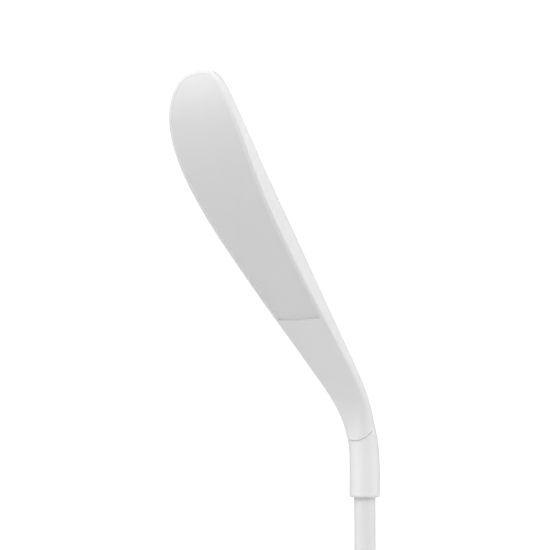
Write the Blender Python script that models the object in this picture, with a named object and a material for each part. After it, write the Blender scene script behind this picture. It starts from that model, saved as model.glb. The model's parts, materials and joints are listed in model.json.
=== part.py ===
"""Clip-on reading lamp: a spring clip, a sleeved flexible arm and a long paddle-shaped light head.

Metres, +Z up. The origin is the middle of the upper jaw pad's gripping face, so z = 0 is the top
of the shelf that the clip grips. The lamp is symmetrical about x = 0, its jaws open towards -Y,
and the light head leans over the jaws. The clip is open on a 20 mm board, with the arm straight.
"""

import math

import bmesh
import bpy
import numpy as np
from mathutils import Matrix, Vector

MM = 0.001
ROUND = 24              # sides of the larger turned pieces
FINE_ROUND = 16         # sides of small turned pieces

# ---- clip and housing ----
BOARD = 20 * MM         # thickness of the board between the pads
PAD = 2 * MM            # thickness of a rubber pad
REST = 0.3 * MM         # gap between pieces that rest on each other
HALF_WIDTH = 22 * MM    # housing
FRONT = -28 * MM
REAR = 70 * MM
CORNER = 15 * MM
WALL = 2 * MM
TRAY_LOW = PAD + REST
TRAY_FLOOR = TRAY_LOW + 2.2 * MM
SPLIT = 12 * MM         # height of the joint between tray and cover
COVER_TOP = 25 * MM
COVER_CEILING = COVER_TOP - 2.2 * MM
HINGE_Y = 34 * MM
HINGE_Z = -10 * MM
PIN_RADIUS = 1.5 * MM
PIN_BORE = 1.65 * MM
EAR_INNER = 15.5 * MM
EAR_OUTER = 18.5 * MM
JAW_HALF_WIDTH = 19 * MM
JAW_PLATE = 3 * MM
JAW_WALL_INNER = 11.5 * MM
JAW_WALL_OUTER = 14.7 * MM
JAW_TOP = -BOARD - PAD - REST
JAW_REAR = 74 * MM
SCREW_PLACES = [(x, y) for y in (-17 * MM, 59 * MM) for x in (-15 * MM, 15 * MM)]

# ---- button, board and socket ----
BUTTON_Y = 57 * MM
LENS_Y = 47.2 * MM
BOARD_LOW = 13.5 * MM
BOARD_TOP = BOARD_LOW + 1.2 * MM
BOARD_SCREW_X = 8.5 * MM
BOARD_SCREW_Y = 48 * MM
SOCKET_LOW = BOARD_TOP + REST
SOCKET_HALF_WIDTH = 4.5 * MM
SOCKET_HEIGHT = 3.2 * MM

# ---- arm ----
ARM_Y = 36 * MM         # the arm stands over the hinge
COLLAR_TOP = 43 * MM
FREE_LENGTH = 176 * MM
LINKS = 9
PITCH = FREE_LENGTH / (LINKS - 1)
PIVOTS = [COLLAR_TOP + PITCH * (i + 0.5) for i in range(LINKS - 1)]
SLEEVE_RADIUS = 5 * MM
SLEEVE_BORE = 3.75 * MM
CORE_RADIUS = 3.4 * MM
CORE_BORE = 1.6 * MM
CABLE_RADIUS = 1.1 * MM
SLEEVE_RELIEF = 1.2 * MM    # how far each link stops short of its pivot, so that it can bend 25 degrees
CORE_RELIEF = 0.85 * MM
SOCKET_BORE = 5.35 * MM     # the hole that the arm enters, in the collar and in the cuff
FERRULE_BORE = 3.55 * MM
FERRULE_RADIUS = 5.05 * MM
CUFF_LOW = COLLAR_TOP + FREE_LENGTH
SET_SCREW_Z = CUFF_LOW + 15 * MM

# ---- light head ----
# Sections along its middle line, counted from the foot of the cuff: distance in mm, forward lean
# in degrees, half width, half thickness, front edge radius and back edge radius in mm.
SECTIONS = np.array([
    (0, 0, 7.0, 7.0, 7.0, 7.0),
    (12, 0, 7.0, 7.0, 7.0, 7.0),
    (24, 10, 7.0, 6.6, 6.6, 6.6),
    (36, 22, 7.9, 4.6, 4.3, 4.4),
    (48, 33, 10.0, 2.9, 2.2, 2.7),
    (62, 40, 11.8, 2.7, 1.2, 2.3),
    (80, 41, 13.6, 2.9, 1.0, 2.2),
    (120, 40.5, 17.3, 4.0, 1.0, 2.4),
    (160, 38, 20.8, 4.3, 1.0, 2.4),
    (180, 33, 22.3, 3.5, 1.0, 2.2),
    (200, 22, 23.0, 2.5, 0.9, 1.8),
    (222, -7, 21.5, 2.1, 0.8, 1.6),
])
CUFF_RADIUS = 7 * MM
HEAD_LENGTH = 223 * MM      # along the middle line
SHOULDER = 165.5 * MM       # where the outline starts to round off to the tip
TIP_POWER = 3.0             # how square the rounded tip is
SHELL_WALL = 1.2 * MM
RIM_WIDTH = 2.1 * MM        # front rim beside the diffuser
WINDOW_START = 98 * MM      # lower end of the diffuser
WINDOW_BULGE = 1.25 * MM    # how far its arc reaches towards the neck
COVER_THIN = 0.6 * MM       # front cover at the tip
COVER_THICK = 1.1 * MM      # front cover at the lower end of the diffuser
COVER_SLOPE = 45            # lean of the plane that ends the cover at the neck, in degrees
COVER_LOW = 26 * MM         # height of the cover's lowest point over the foot of the cuff
NECK_SEAM = 0.5 * MM        # how far in front of the middle line the cover's seam runs at the neck
BOARD_START = 105 * MM
BOARD_END = 194 * MM
LED_ROWS = 8


def clear_scene():
    for old in list(bpy.data.objects):
        bpy.data.objects.remove(old)


def material(name, colour, roughness, metallic=0.0):
    """A Principled material with one colour, made once and shared."""
    found = bpy.data.materials.get(name)
    if found:
        return found
    made = bpy.data.materials.new(name)
    made.use_nodes = True
    shader = made.node_tree.nodes["Principled BSDF"]
    shader.inputs["Base Color"].default_value = (*colour, 1.0)
    shader.inputs["Roughness"].default_value = roughness
    shader.inputs["Metallic"].default_value = metallic
    return made


def white_plastic():
    return material("white_plastic", (0.86, 0.86, 0.86), 0.42)


def silicone():
    return material("white_silicone", (0.84, 0.84, 0.84), 0.6)


def pad_rubber():
    return material("pad_rubber", (0.55, 0.56, 0.57), 0.8)


def steel():
    return material("steel", (0.62, 0.62, 0.63), 0.3, 1.0)


def circuit_board():
    return material("circuit_board", (0.05, 0.22, 0.12), 0.5)


def finish(name, bm, slot, origin=(0, 0, 0)):
    """Turn a bmesh into the named object, with its origin at the given place."""
    bmesh.ops.remove_doubles(bm, verts=bm.verts, dist=0.0002 * MM)
    bmesh.ops.translate(bm, verts=bm.verts, vec=-Vector(origin))
    mesh = bpy.data.meshes.new(name)
    bm.to_mesh(mesh)
    bm.free()
    obj = bpy.data.objects.new(name, mesh)
    obj.location = origin
    bpy.context.scene.collection.objects.link(obj)
    mesh.materials.append(slot)
    mesh.shade_smooth()
    mesh.set_sharp_from_angle(angle=math.radians(35))
    return obj


def combine(bm, tool, operation):
    """Boolean one closed bmesh with another and return the result; both are used up."""
    pair = []
    for part in (bm, tool):
        mesh = bpy.data.meshes.new("work")
        part.to_mesh(mesh)
        part.free()
        obj = bpy.data.objects.new("work", mesh)
        bpy.context.scene.collection.objects.link(obj)
        pair.append(obj)
    body, other = pair
    modifier = body.modifiers.new("combine", "BOOLEAN")
    modifier.operation = operation
    modifier.object = other
    modifier.solver = "EXACT"
    graph = bpy.context.evaluated_depsgraph_get()
    result = bmesh.new()
    result.from_object(body, graph)
    for obj in pair:
        mesh = obj.data
        bpy.data.objects.remove(obj)
        bpy.data.meshes.remove(mesh)
    return result


def cut(bm, *tools):
    for tool in tools:
        bm = combine(bm, tool, "DIFFERENCE")
    return bm


def add(bm, *tools):
    for tool in tools:
        bm = combine(bm, tool, "UNION")
    return bm


# ---- basic shapes ----

def prism(outline, low, high, along="Z"):
    """Push a flat outline from low to high. Along Z the outline is (x, y), along X it is (y, z)."""
    bm = bmesh.new()
    if along == "Z":
        verts = [bm.verts.new((x, y, low)) for x, y in outline]
    else:
        verts = [bm.verts.new((low, y, z)) for y, z in outline]
    face = bm.faces.new(verts)
    pushed = bmesh.ops.extrude_face_region(bm, geom=[face])
    moved = [item for item in pushed["geom"] if isinstance(item, bmesh.types.BMVert)]
    step = Vector((0, 0, high - low)) if along == "Z" else Vector((high - low, 0, 0))
    bmesh.ops.translate(bm, verts=moved, vec=step)
    bmesh.ops.recalc_face_normals(bm, faces=bm.faces)
    return bm


def turned(profile, centre=(0, 0, 0), steps=ROUND, tube=True, along="Z"):
    """Turn a profile of (radius, height) points. A tube's profile closes on itself."""
    bm = bmesh.new()
    verts = [bm.verts.new((radius, 0, height)) for radius, height in profile]
    edges = [bm.edges.new(pair) for pair in zip(verts, verts[1:])]
    if tube:
        edges.append(bm.edges.new((verts[-1], verts[0])))
    bmesh.ops.spin(bm, geom=verts + edges, cent=(0, 0, 0), axis=(0, 0, 1),
                   angle=math.tau, steps=steps, use_merge=True)
    bmesh.ops.remove_doubles(bm, verts=bm.verts, dist=0.001 * MM)
    bmesh.ops.recalc_face_normals(bm, faces=bm.faces)
    if along == "X":
        bmesh.ops.rotate(bm, cent=(0, 0, 0), matrix=Matrix.Rotation(math.radians(90), 3, "Y"), verts=bm.verts)
    bmesh.ops.translate(bm, verts=bm.verts, vec=centre)
    return bm


def ring(inner, outer, low, high, centre, steps=ROUND, along="Z"):
    return turned([(inner, low), (outer, low), (outer, high), (inner, high)], centre, steps, True, along)


def rod(radius, low, high, centre=(0, 0, 0), steps=ROUND, along="Z"):
    return turned([(0, low), (radius, low), (radius, high), (0, high)], centre, steps, False, along)


def tipped(bm, degrees, place):
    """Turn a shape about X at the origin, then put it in its place."""
    turn = Matrix.Rotation(math.radians(degrees), 3, "X")
    bmesh.ops.rotate(bm, cent=(0, 0, 0), matrix=turn, verts=bm.verts)
    bmesh.ops.translate(bm, verts=bm.verts, vec=place)
    return bm


def rounded_outline(half_x, y_low, y_high, radius, steps=6):
    """Corner points of a rounded rectangle, anticlockwise."""
    corners = [(half_x - radius, y_low + radius, -90), (half_x - radius, y_high - radius, 0),
               (-half_x + radius, y_high - radius, 90), (-half_x + radius, y_low + radius, 180)]
    points = []
    for x, y, start in corners:
        for i in range(steps + 1):
            angle = math.radians(start + 90 * i / steps)
            points.append((x + radius * math.cos(angle), y + radius * math.sin(angle)))
    return points


def housing_outline(inset=0.0):
    return rounded_outline(HALF_WIDTH - inset, FRONT + inset, REAR - inset, CORNER - inset)


def box(x_low, x_high, y_low, y_high, z_low, z_high):
    outline = [(x_low, y_low), (x_high, y_low), (x_high, y_high), (x_low, y_high)]
    return prism(outline, z_low, z_high)


def bevel_level(bm, height, width, segments):
    """Round off the edges that lie at one height."""
    edges = [edge for edge in bm.edges if all(abs(vert.co.z - height) < 0.01 * MM for vert in edge.verts)]
    bmesh.ops.bevel(bm, geom=edges, offset=width, segments=segments, profile=0.5, affect="EDGES")
    return bm


def tube_along(name, points, radius, slot, origin=(0, 0, 0), resolution=2):
    """A round wire through the given points, with closed ends."""
    data = bpy.data.curves.new(name, "CURVE")
    data.dimensions = "3D"
    data.bevel_depth = radius
    data.bevel_resolution = resolution
    data.use_fill_caps = True
    spline = data.splines.new("POLY")
    spline.points.add(len(points) - 1)
    for point, place in zip(spline.points, points):
        point.co = (*(Vector(place) - Vector(origin)), 1.0)
    obj = bpy.data.objects.new(name, data)
    obj.location = origin
    bpy.context.scene.collection.objects.link(obj)
    data.materials.append(slot)
    return obj


def smooth_route(corners, spacing):
    """Points about a spacing apart on a smooth curve through a few corner points."""
    places = [Vector(corner) for corner in corners]
    ends = [2 * places[0] - places[1]] + places + [2 * places[-1] - places[-2]]
    points = []
    for before, start, stop, after in zip(ends, ends[1:], ends[2:], ends[3:]):
        count = max(1, round((stop - start).length / spacing))
        for i in range(count):
            t = i / count
            points.append(0.5 * (2 * start + (stop - before) * t
                                 + (2 * before - 5 * start + 4 * stop - after) * t ** 2
                                 + (3 * start - before - 3 * stop + after) * t ** 3))
    return points + [places[-1]]


# ---- light head: lines ----

def section_value(column, distance):
    """One of the section sizes at a distance along the head, on a smooth curve through the table."""
    stops = SECTIONS[:, 0]
    values = SECTIONS[:, column]
    slopes = np.gradient(values, stops)
    place = min(max(distance / MM, stops[0]), stops[-1])
    i = min(int(np.searchsorted(stops, place, side="right")) - 1, len(stops) - 2)
    span = stops[i + 1] - stops[i]
    t = (place - stops[i]) / span
    return float(values[i] * (1 + 2 * t) * (1 - t) ** 2 + slopes[i] * span * t * (1 - t) ** 2
                 + values[i + 1] * t * t * (3 - 2 * t) + slopes[i + 1] * span * t * t * (t - 1))


def middle_line():
    """The head's middle line in the plane x = 0: distances, y and z."""
    distances = np.arange(0, HEAD_LENGTH / MM + 2, 0.5) * MM
    lean = np.radians([section_value(1, place) for place in distances])
    step = np.diff(distances)
    y = ARM_Y - np.concatenate([[0], np.cumsum(step * (np.sin(lean[1:]) + np.sin(lean[:-1])) / 2)])
    z = CUFF_LOW + np.concatenate([[0], np.cumsum(step * (np.cos(lean[1:]) + np.cos(lean[:-1])) / 2)])
    return distances, y, z


LINE = middle_line()


def on_head(distance, x, rise):
    """A place in space from a distance along the head, a place across it and a height to its front."""
    y = float(np.interp(distance, LINE[0], LINE[1]))
    z = float(np.interp(distance, LINE[0], LINE[2]))
    lean = math.radians(section_value(1, distance))
    return Vector((x, y - rise * math.cos(lean), z - rise * math.sin(lean)))


def half_width(distance):
    return section_value(2, distance) * MM


def half_thickness(distance):
    return section_value(3, distance) * MM


def outline_points(first, steps=12, tip_steps=12):
    """Right half of the head's outline as (distance, x), from a first distance to the tip."""
    points = [(place, half_width(place)) for place in np.linspace(first, SHOULDER, steps, endpoint=False)]
    for i in range(tip_steps + 1):
        turn = math.radians(90) * i / tip_steps
        place = SHOULDER + (HEAD_LENGTH - SHOULDER) * math.sin(turn) ** (2 / TIP_POWER)
        points.append((place, half_width(place) * max(math.cos(turn), 0.0) ** (2 / TIP_POWER)))
    return points


def inset_outline(first, inset, steps=12, tip_steps=12):
    """The outline moved inwards, with the inward direction at each of its points."""
    points = np.array(outline_points(first, steps, tip_steps))
    along = np.gradient(points, axis=0)
    inward = np.stack([along[:, 1], -along[:, 0]], axis=1)
    inward /= np.linalg.norm(inward, axis=1)[:, None]
    inward[0] = (0, -1)
    inward[-1] = (-1, 0)
    return points + inward * inset, inward


def paddle(first, inset, back, front, back_radius=None, front_radius=None, bends=3, steps=12):
    """Closed solid over the head's outline from a first distance to the tip.

    back and front give the solid's two faces as heights from the middle line, and the radii round
    its edges all the way round the outline. Each is a function of the distance along the head.
    """
    points, inward = inset_outline(first, inset, steps)
    loops = []
    for is_front in (True, False):
        order = range(bends, -1, -1) if is_front else range(bends + 1)
        radius_at = front_radius if is_front else back_radius
        if radius_at is None:
            order = [0]
        for i in order:
            turn = math.radians(90) * i / bends
            loop = []
            for (place, x), towards in zip(points, inward):
                level = front(place) if is_front else back(place)
                depth_here = (front(place) - back(place)) / (2 if back_radius and front_radius else 1)
                room = min(depth_here, max(x, 2 * MM)) * 0.97
                radius = min(radius_at(place), room) if radius_at else 0.0
                depth = radius * (1 - math.cos(turn))
                drop = radius * (1 - math.sin(turn))
                loop.append((place + towards[0] * depth, max(x + towards[1] * depth, 0.0),
                             level - drop if is_front else level + drop))
            loops.append(loop)
    bm = bmesh.new()
    rows = []
    for loop in loops:
        right = [bm.verts.new(on_head(*point)) for point in loop]
        left = [bm.verts.new(on_head(place, -x, rise)) for place, x, rise in loop[:-1]]
        rows.append(right + left[::-1])
    for upper, lower in zip(rows, rows[1:]):
        for i in range(len(upper) - 1):
            bm.faces.new((upper[i], lower[i], lower[i + 1], upper[i + 1]))
    for row in (rows[0], rows[-1]):
        last = len(row) - 1
        for i in range(last // 2 - 1):
            bm.faces.new((row[i], row[i + 1], row[last - i - 1], row[last - i]))
        bm.faces.new((row[last // 2 - 1], row[last // 2], row[last // 2 + 1]))
    bm.faces.new([row[0] for row in rows] + [row[-1] for row in reversed(rows)])
    bmesh.ops.remove_doubles(bm, verts=bm.verts, dist=0.001 * MM)
    bmesh.ops.recalc_face_normals(bm, faces=bm.faces)
    return bm


def strip(first, last, half, low, high, steps=10):
    """Closed bar along the head between two distances; half, low and high are functions of distance."""
    bm = bmesh.new()
    edges = []
    rings = []
    for place in np.linspace(first, last, steps):
        corners = [(-half(place), low(place)), (half(place), low(place)),
                   (half(place), high(place)), (-half(place), high(place))]
        verts = [bm.verts.new(on_head(place, x, rise)) for x, rise in corners]
        rings.append(verts)
        edges.append([bm.edges.new((verts[i], verts[(i + 1) % 4])) for i in range(4)])
    for before, after in zip(edges, edges[1:]):
        bmesh.ops.bridge_loops(bm, edges=before + after)
    bm.faces.new(rings[0])
    bm.faces.new(rings[-1])
    bmesh.ops.recalc_face_normals(bm, faces=bm.faces)
    return bm


def cover_thickness(distance):
    """Front cover: thick at the lower end of the diffuser, thin at the tip."""
    t = (distance - WINDOW_START) / (HEAD_LENGTH - WINDOW_START)
    return COVER_THICK + (COVER_THIN - COVER_THICK) * min(max(t, 0.0), 1.0)


def eased(distance, start, end):
    """0 up to the start, 1 from the end, and a smooth rise between them."""
    t = min(max((distance - start) / (end - start), 0.0), 1.0)
    return t * t * (3 - 2 * t)


def parting(distance):
    """Where the front cover meets the shell on the side: under the rim, and half way at the neck."""
    rim = half_thickness(distance) - cover_thickness(distance) - REST
    return NECK_SEAM + (rim - NECK_SEAM) * eased(distance, 30 * MM, 62 * MM)


def inner_back(distance):
    return -half_thickness(distance) + SHELL_WALL


def cuff_front(distance, radius):
    """Front of the cuff, which stays upright in line with the arm while the head leans away from it."""
    lean = math.radians(section_value(1, distance))
    drift = float(np.interp(distance, LINE[0], LINE[1])) - ARM_Y
    return min(half_thickness(distance) - CUFF_RADIUS + radius, (radius + drift) / math.cos(lean))


def shell_front(distance):
    """Front of the shell before the cover's room is cut: the upright cuff, then the whole head."""
    cuff = cuff_front(distance, CUFF_RADIUS)
    return cuff + (half_thickness(distance) - cuff) * eased(distance, 26 * MM, 33 * MM)


def cover_end(gap):
    """Point and direction of the plane that ends the cover, moved up the head by a gap."""
    lean = math.radians(COVER_SLOPE)
    direction = Vector((0, -math.sin(lean), math.cos(lean)))
    lowest = Vector((0, ARM_Y - 7.6 * MM, CUFF_LOW + COVER_LOW))
    return lowest + direction * gap, direction


def keep_above(bm, gap):
    """Keep what lies above the cover's end plane, closing the cut."""
    point, direction = cover_end(gap)
    geometry = bm.verts[:] + bm.edges[:] + bm.faces[:]
    done = bmesh.ops.bisect_plane(bm, geom=geometry, plane_co=point, plane_no=direction,
                                  clear_inner=True, dist=0.0001 * MM)
    rim = [item for item in done["geom_cut"] if isinstance(item, bmesh.types.BMEdge)]
    bmesh.ops.contextual_create(bm, geom=rim)
    bmesh.ops.recalc_face_normals(bm, faces=bm.faces)
    return bm


# ---- light head: pieces ----

def head_shell(origin):
    body = paddle(0.0, 0.0, lambda s: -half_thickness(s), shell_front,
                  lambda s: section_value(5, s) * MM, lambda s: section_value(4, s) * MM, steps=18)
    room = paddle(20 * MM, -2 * MM, parting, lambda s: half_thickness(s) + 5 * MM, steps=15)
    cover_room = keep_above(room, -REST)
    hollow = paddle(19.2 * MM, SHELL_WALL, inner_back,
                    lambda s: max(parting(s) + MM, cuff_front(s, CUFF_RADIUS - SHELL_WALL)),
                    lambda s: max(section_value(5, s) * MM - SHELL_WALL, 0.5 * MM),
                    lambda s: max(section_value(4, s) * MM - SHELL_WALL, 0.5 * MM), steps=15)
    bore = rod(SOCKET_BORE, -MM, 19.6 * MM, (0, ARM_Y, CUFF_LOW))
    screw_hole = tipped(rod(1.4 * MM, 0, 10 * MM, steps=FINE_ROUND), -90, (0, ARM_Y, SET_SCREW_Z))
    return finish("head_shell", cut(body, cover_room, hollow, bore, screw_hole), white_plastic(), origin)


def head_front_cover(origin):
    body = keep_above(paddle(20 * MM, 0.0, lambda s: parting(s) + REST, half_thickness,
                             front_radius=lambda s: section_value(4, s) * MM, steps=15), 0.0)
    hollow = paddle(18 * MM, SHELL_WALL, inner_back,
                    lambda s: half_thickness(s) - cover_thickness(s) - 0.25 * MM,
                    front_radius=lambda s: max(section_value(4, s) * MM - SHELL_WALL, 0.5 * MM), steps=14)
    return finish("head_front_cover", cut(body, hollow, window()), white_plastic(), origin)


def window():
    """Cutter for the diffuser's opening, with its shallow arc at the lower end."""
    bm = paddle(WINDOW_START - 4 * MM, RIM_WIDTH, lambda s: half_thickness(s) - 3 * MM,
                lambda s: half_thickness(s) + 3 * MM)
    return trimmed_by_arc(bm, WINDOW_START)


def trimmed_by_arc(bm, lower_end):
    """Cut the lower end of a plate of the diffuser's outline to a shallow arc across the head."""
    half = half_width(lower_end)
    radius = (half ** 2 + WINDOW_BULGE ** 2) / (2 * WINDOW_BULGE)
    outline = [(-2 * half, -60 * MM), (2 * half, -60 * MM)]
    for i in range(9):
        x = 2 * half * (1 - i / 4)
        outline.append((x, radius - WINDOW_BULGE - math.sqrt(radius ** 2 - x ** 2)))
    tool = prism(outline, -15 * MM, 15 * MM)
    place = on_head(lower_end, 0, 0)
    lean = math.radians(section_value(1, lower_end))
    turn = Matrix(((1, 0, 0), (0, -math.sin(lean), -math.cos(lean)), (0, math.cos(lean), -math.sin(lean))))
    bmesh.ops.rotate(tool, cent=(0, 0, 0), matrix=turn, verts=tool.verts)
    bmesh.ops.translate(tool, verts=tool.verts, vec=place)
    return cut(bm, tool)


def diffuser(origin):
    plate = paddle(WINDOW_START - 6 * MM, RIM_WIDTH - 0.6 * MM,
                   lambda s: half_thickness(s) - cover_thickness(s) - REST - 1.0 * MM,
                   lambda s: half_thickness(s) - cover_thickness(s) - REST)
    frosted = material("frosted_diffuser", (0.9, 0.9, 0.9), 0.5)
    return finish("diffuser", trimmed_by_arc(plate, WINDOW_START - 2 * MM), frosted, origin)


def led_board(origin):
    """Aluminium board with two columns of LEDs, which follows the bend of the head."""
    def low(place):
        return inner_back(place) + 0.7 * MM

    def high(place):
        return inner_back(place) + 1.5 * MM

    board = strip(BOARD_START, BOARD_END, lambda s: half_width(s) * 0.72, low, high)
    for column in (-0.36, 0.36):
        for row in range(LED_ROWS):
            place = BOARD_START + (BOARD_END - BOARD_START) * (row + 0.5) / LED_ROWS
            middle = column * half_width(place)
            led = strip(place - 1.4 * MM, place + 1.4 * MM, lambda s: 1.4 * MM,
                        lambda s: high(s) - 0.2 * MM, lambda s: high(s) + 0.6 * MM, steps=2)
            bmesh.ops.translate(led, verts=led.verts, vec=(middle, 0, 0))
            board = add(board, led)
    white_board = material("led_board_white", (0.8, 0.8, 0.78), 0.45)
    return finish("led_board", board, white_board, origin)


def thermal_tape(origin):
    tape = strip(BOARD_START + 2 * MM, BOARD_END - 2 * MM, lambda s: half_width(s) * 0.66,
                 lambda s: inner_back(s) + 0.2 * MM, lambda s: inner_back(s) + 0.5 * MM)
    return finish("thermal_tape", tape, material("thermal_tape", (0.75, 0.74, 0.7), 0.7), origin)


def make_head(origin):
    head_shell(origin)
    head_front_cover(origin)
    diffuser(origin)
    led_board(origin)
    thermal_tape(origin)
    foot = (0, ARM_Y, CUFF_LOW)
    finish("upper_ferrule", ring(FERRULE_BORE, FERRULE_RADIUS, 12 * MM, 19 * MM, foot), steel(), origin)
    screw = rod(1.2 * MM, FERRULE_RADIUS + 0.15 * MM, FERRULE_RADIUS + 1.65 * MM, steps=FINE_ROUND)
    finish("set_screw", tipped(screw, -90, (0, ARM_Y, SET_SCREW_Z)), steel(), origin)


# ---- arm ----

def make_arm():
    """Nine links: the first stands in the collar, the last in the cuff, the rest between pivots."""
    for i in range(LINKS):
        core_low = 21.8 * MM if i == 0 else PIVOTS[i - 1] + CORE_RELIEF
        sleeve_low = 30.3 * MM if i == 0 else PIVOTS[i - 1] + SLEEVE_RELIEF
        core_high = CUFF_LOW + 18.7 * MM if i == LINKS - 1 else PIVOTS[i] - CORE_RELIEF
        sleeve_high = CUFF_LOW + 11.7 * MM if i == LINKS - 1 else PIVOTS[i] - SLEEVE_RELIEF
        origin = (0, ARM_Y, 0 if i == 0 else PIVOTS[i - 1])
        core = ring(CORE_BORE, CORE_RADIUS, core_low, core_high, (0, ARM_Y, 0), FINE_ROUND)
        sleeve = ring(SLEEVE_BORE, SLEEVE_RADIUS, sleeve_low, sleeve_high, (0, ARM_Y, 0))
        finish(f"arm_core_{i + 1}", core, steel(), origin)
        finish(f"arm_sleeve_{i + 1}", sleeve, silicone(), origin)


def arm_cable():
    """Lead from the control board up through the arm and along the neck to the LED board."""
    bend = 5 * MM
    lie = BOARD_TOP + REST + CABLE_RADIUS
    corners = [(0, ARM_Y + 13 * MM, lie), (0, ARM_Y + 9 * MM, lie), (0, ARM_Y + bend, lie)]
    for turn in (30, 60):
        angle = math.radians(turn)
        corners.append((0, ARM_Y + bend * (1 - math.sin(angle)), lie + bend * (1 - math.cos(angle))))
    corners += [(0, ARM_Y, lie + bend), (0, ARM_Y, lie + 3 * bend)]
    points = smooth_route(corners, 3 * MM)[:-1]
    points += [(0, ARM_Y, float(z)) for z in np.linspace(lie + 3 * bend, CUFF_LOW + 16 * MM, 30)]
    for place in np.linspace(22 * MM, BOARD_START - 3 * MM, 18):
        points.append(on_head(place, 0, -0.2 * MM))
    tube_along("arm_cable", points, CABLE_RADIUS, material("cable_jacket", (0.8, 0.8, 0.8), 0.5))


# ---- clip ----

def hinge_tool(radius=PIN_BORE):
    return rod(radius, -30 * MM, 30 * MM, (0, HINGE_Y, HINGE_Z), FINE_ROUND, "X")


def eye_outline(radius, foot, from_below):
    """Side view of a lug: an arc round the hinge pin on a foot given as a list of (y, z)."""
    arc = []
    for i in range(9):
        angle = math.radians(195 + 150 * i / 8 if from_below else 165 - 150 * i / 8)
        arc.append((HINGE_Y + radius * math.cos(angle), HINGE_Z + radius * math.sin(angle)))
    return foot[:1] + arc + foot[1:]


def base_tray():
    """Lower half of the housing, which is also the fixed jaw, with two ears for the hinge pin."""
    body = bevel_level(prism(housing_outline(), TRAY_LOW, SPLIT), TRAY_LOW, 1.5 * MM, 2)
    body = cut(body, prism(housing_outline(WALL), TRAY_FLOOR, SPLIT + MM))
    ear = eye_outline(6 * MM, [(22 * MM, 3.5 * MM), (46 * MM, 3.5 * MM)], True)
    for side in (-1, 1):
        low, high = sorted((side * EAR_INNER, side * EAR_OUTER))
        body = add(body, prism(ear, low, high, "X"))
    for x, y in SCREW_PLACES:
        body = add(body, rod(3.6 * MM, 3.5 * MM, 9 * MM, (x, y, 0), FINE_ROUND))
        stepped = [(0, 0), (2.7, 0), (2.7, 6), (1.45, 6), (1.45, 10), (0, 10)]
        stepped = [(radius * MM, height * MM) for radius, height in stepped]
        body = cut(body, turned(stepped, (x, y, 0), FINE_ROUND, False))
    for side in (-1, 1):
        place = (side * BOARD_SCREW_X, BOARD_SCREW_Y, 0)
        body = add(body, rod(2.4 * MM, 3.5 * MM, BOARD_LOW - REST, place, FINE_ROUND))
        body = cut(body, rod(1.0 * MM, 7 * MM, BOARD_TOP, place, FINE_ROUND))
    return finish("base_tray", cut(body, hinge_tool()), white_plastic())


def base_cover():
    """Upper half of the housing, with openings for the arm, the button, the lens and the socket."""
    body = bevel_level(prism(housing_outline(), SPLIT + REST, COVER_TOP), COVER_TOP, 5 * MM, 4)
    hollow = prism(housing_outline(WALL), SPLIT - MM, COVER_CEILING)
    body = cut(body, bevel_level(hollow, COVER_CEILING, 3.5 * MM, 3))
    for x, y in SCREW_PLACES:
        body = add(body, rod(3.1 * MM, 9.3 * MM, COVER_CEILING + 0.6 * MM, (x, y, 0), FINE_ROUND))
        body = cut(body, rod(1.3 * MM, 8 * MM, 18.5 * MM, (x, y, 0), FINE_ROUND))
    slot = rounded_outline(SOCKET_HALF_WIDTH + 0.35 * MM, 0, SOCKET_HEIGHT + 0.7 * MM, 1.6 * MM, 4)
    port = prism(slot, -5 * MM, 5 * MM)
    tipped(port, 90, (0, REAR, SOCKET_LOW - 0.35 * MM))
    top = COVER_TOP + MM
    openings = [rod(6.3 * MM, 20 * MM, top, (0, ARM_Y, 0)), rod(6.3 * MM, 20 * MM, top, (0, BUTTON_Y, 0)),
                rod(1.45 * MM, 20 * MM, top, (0, LENS_Y, 0), FINE_ROUND), port]
    return finish("base_cover", cut(body, *openings), white_plastic())


def base_screws():
    profile = [(0, 4.2 * MM), (2.2 * MM, 4.2 * MM), (2.2 * MM, 5.7 * MM), (1.15 * MM, 5.7 * MM),
               (1.15 * MM, 16.5 * MM), (0, 17.5 * MM)]
    for i, (x, y) in enumerate(SCREW_PLACES):
        finish(f"base_screw_{i + 1}", turned(profile, (x, y, 0), FINE_ROUND, False), steel())


def arm_foot():
    """Collar on the cover, its nut under the cover, and the ferrule crimped on the steel hose."""
    profile = [(3.6, 18.5), (6.0, 18.5), (6.0, 25.3), (8.0, 25.3), (8.0, 26.2), (7.0, 27.2), (7.0, 42.2),
               (6.6, 42.8), (6.1, 43.0), (5.35, 43.0), (5.35, 21.5), (3.6, 21.5)]
    place = (0, ARM_Y, 0)
    collar = turned([(radius * MM, height * MM) for radius, height in profile], place)
    finish("arm_collar", collar, white_plastic())
    corners = [math.radians(60 * i) for i in range(6)]
    hexagon = [(9 * MM * math.cos(angle), ARM_Y + 9 * MM * math.sin(angle)) for angle in corners]
    nut = cut(prism(hexagon, 18.9 * MM, 22.4 * MM), rod(6.3 * MM, 15 * MM, 25 * MM, place))
    finish("lock_nut", nut, steel())
    finish("lower_ferrule", ring(FERRULE_BORE, FERRULE_RADIUS, 22 * MM, 30 * MM, place), steel())


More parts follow.
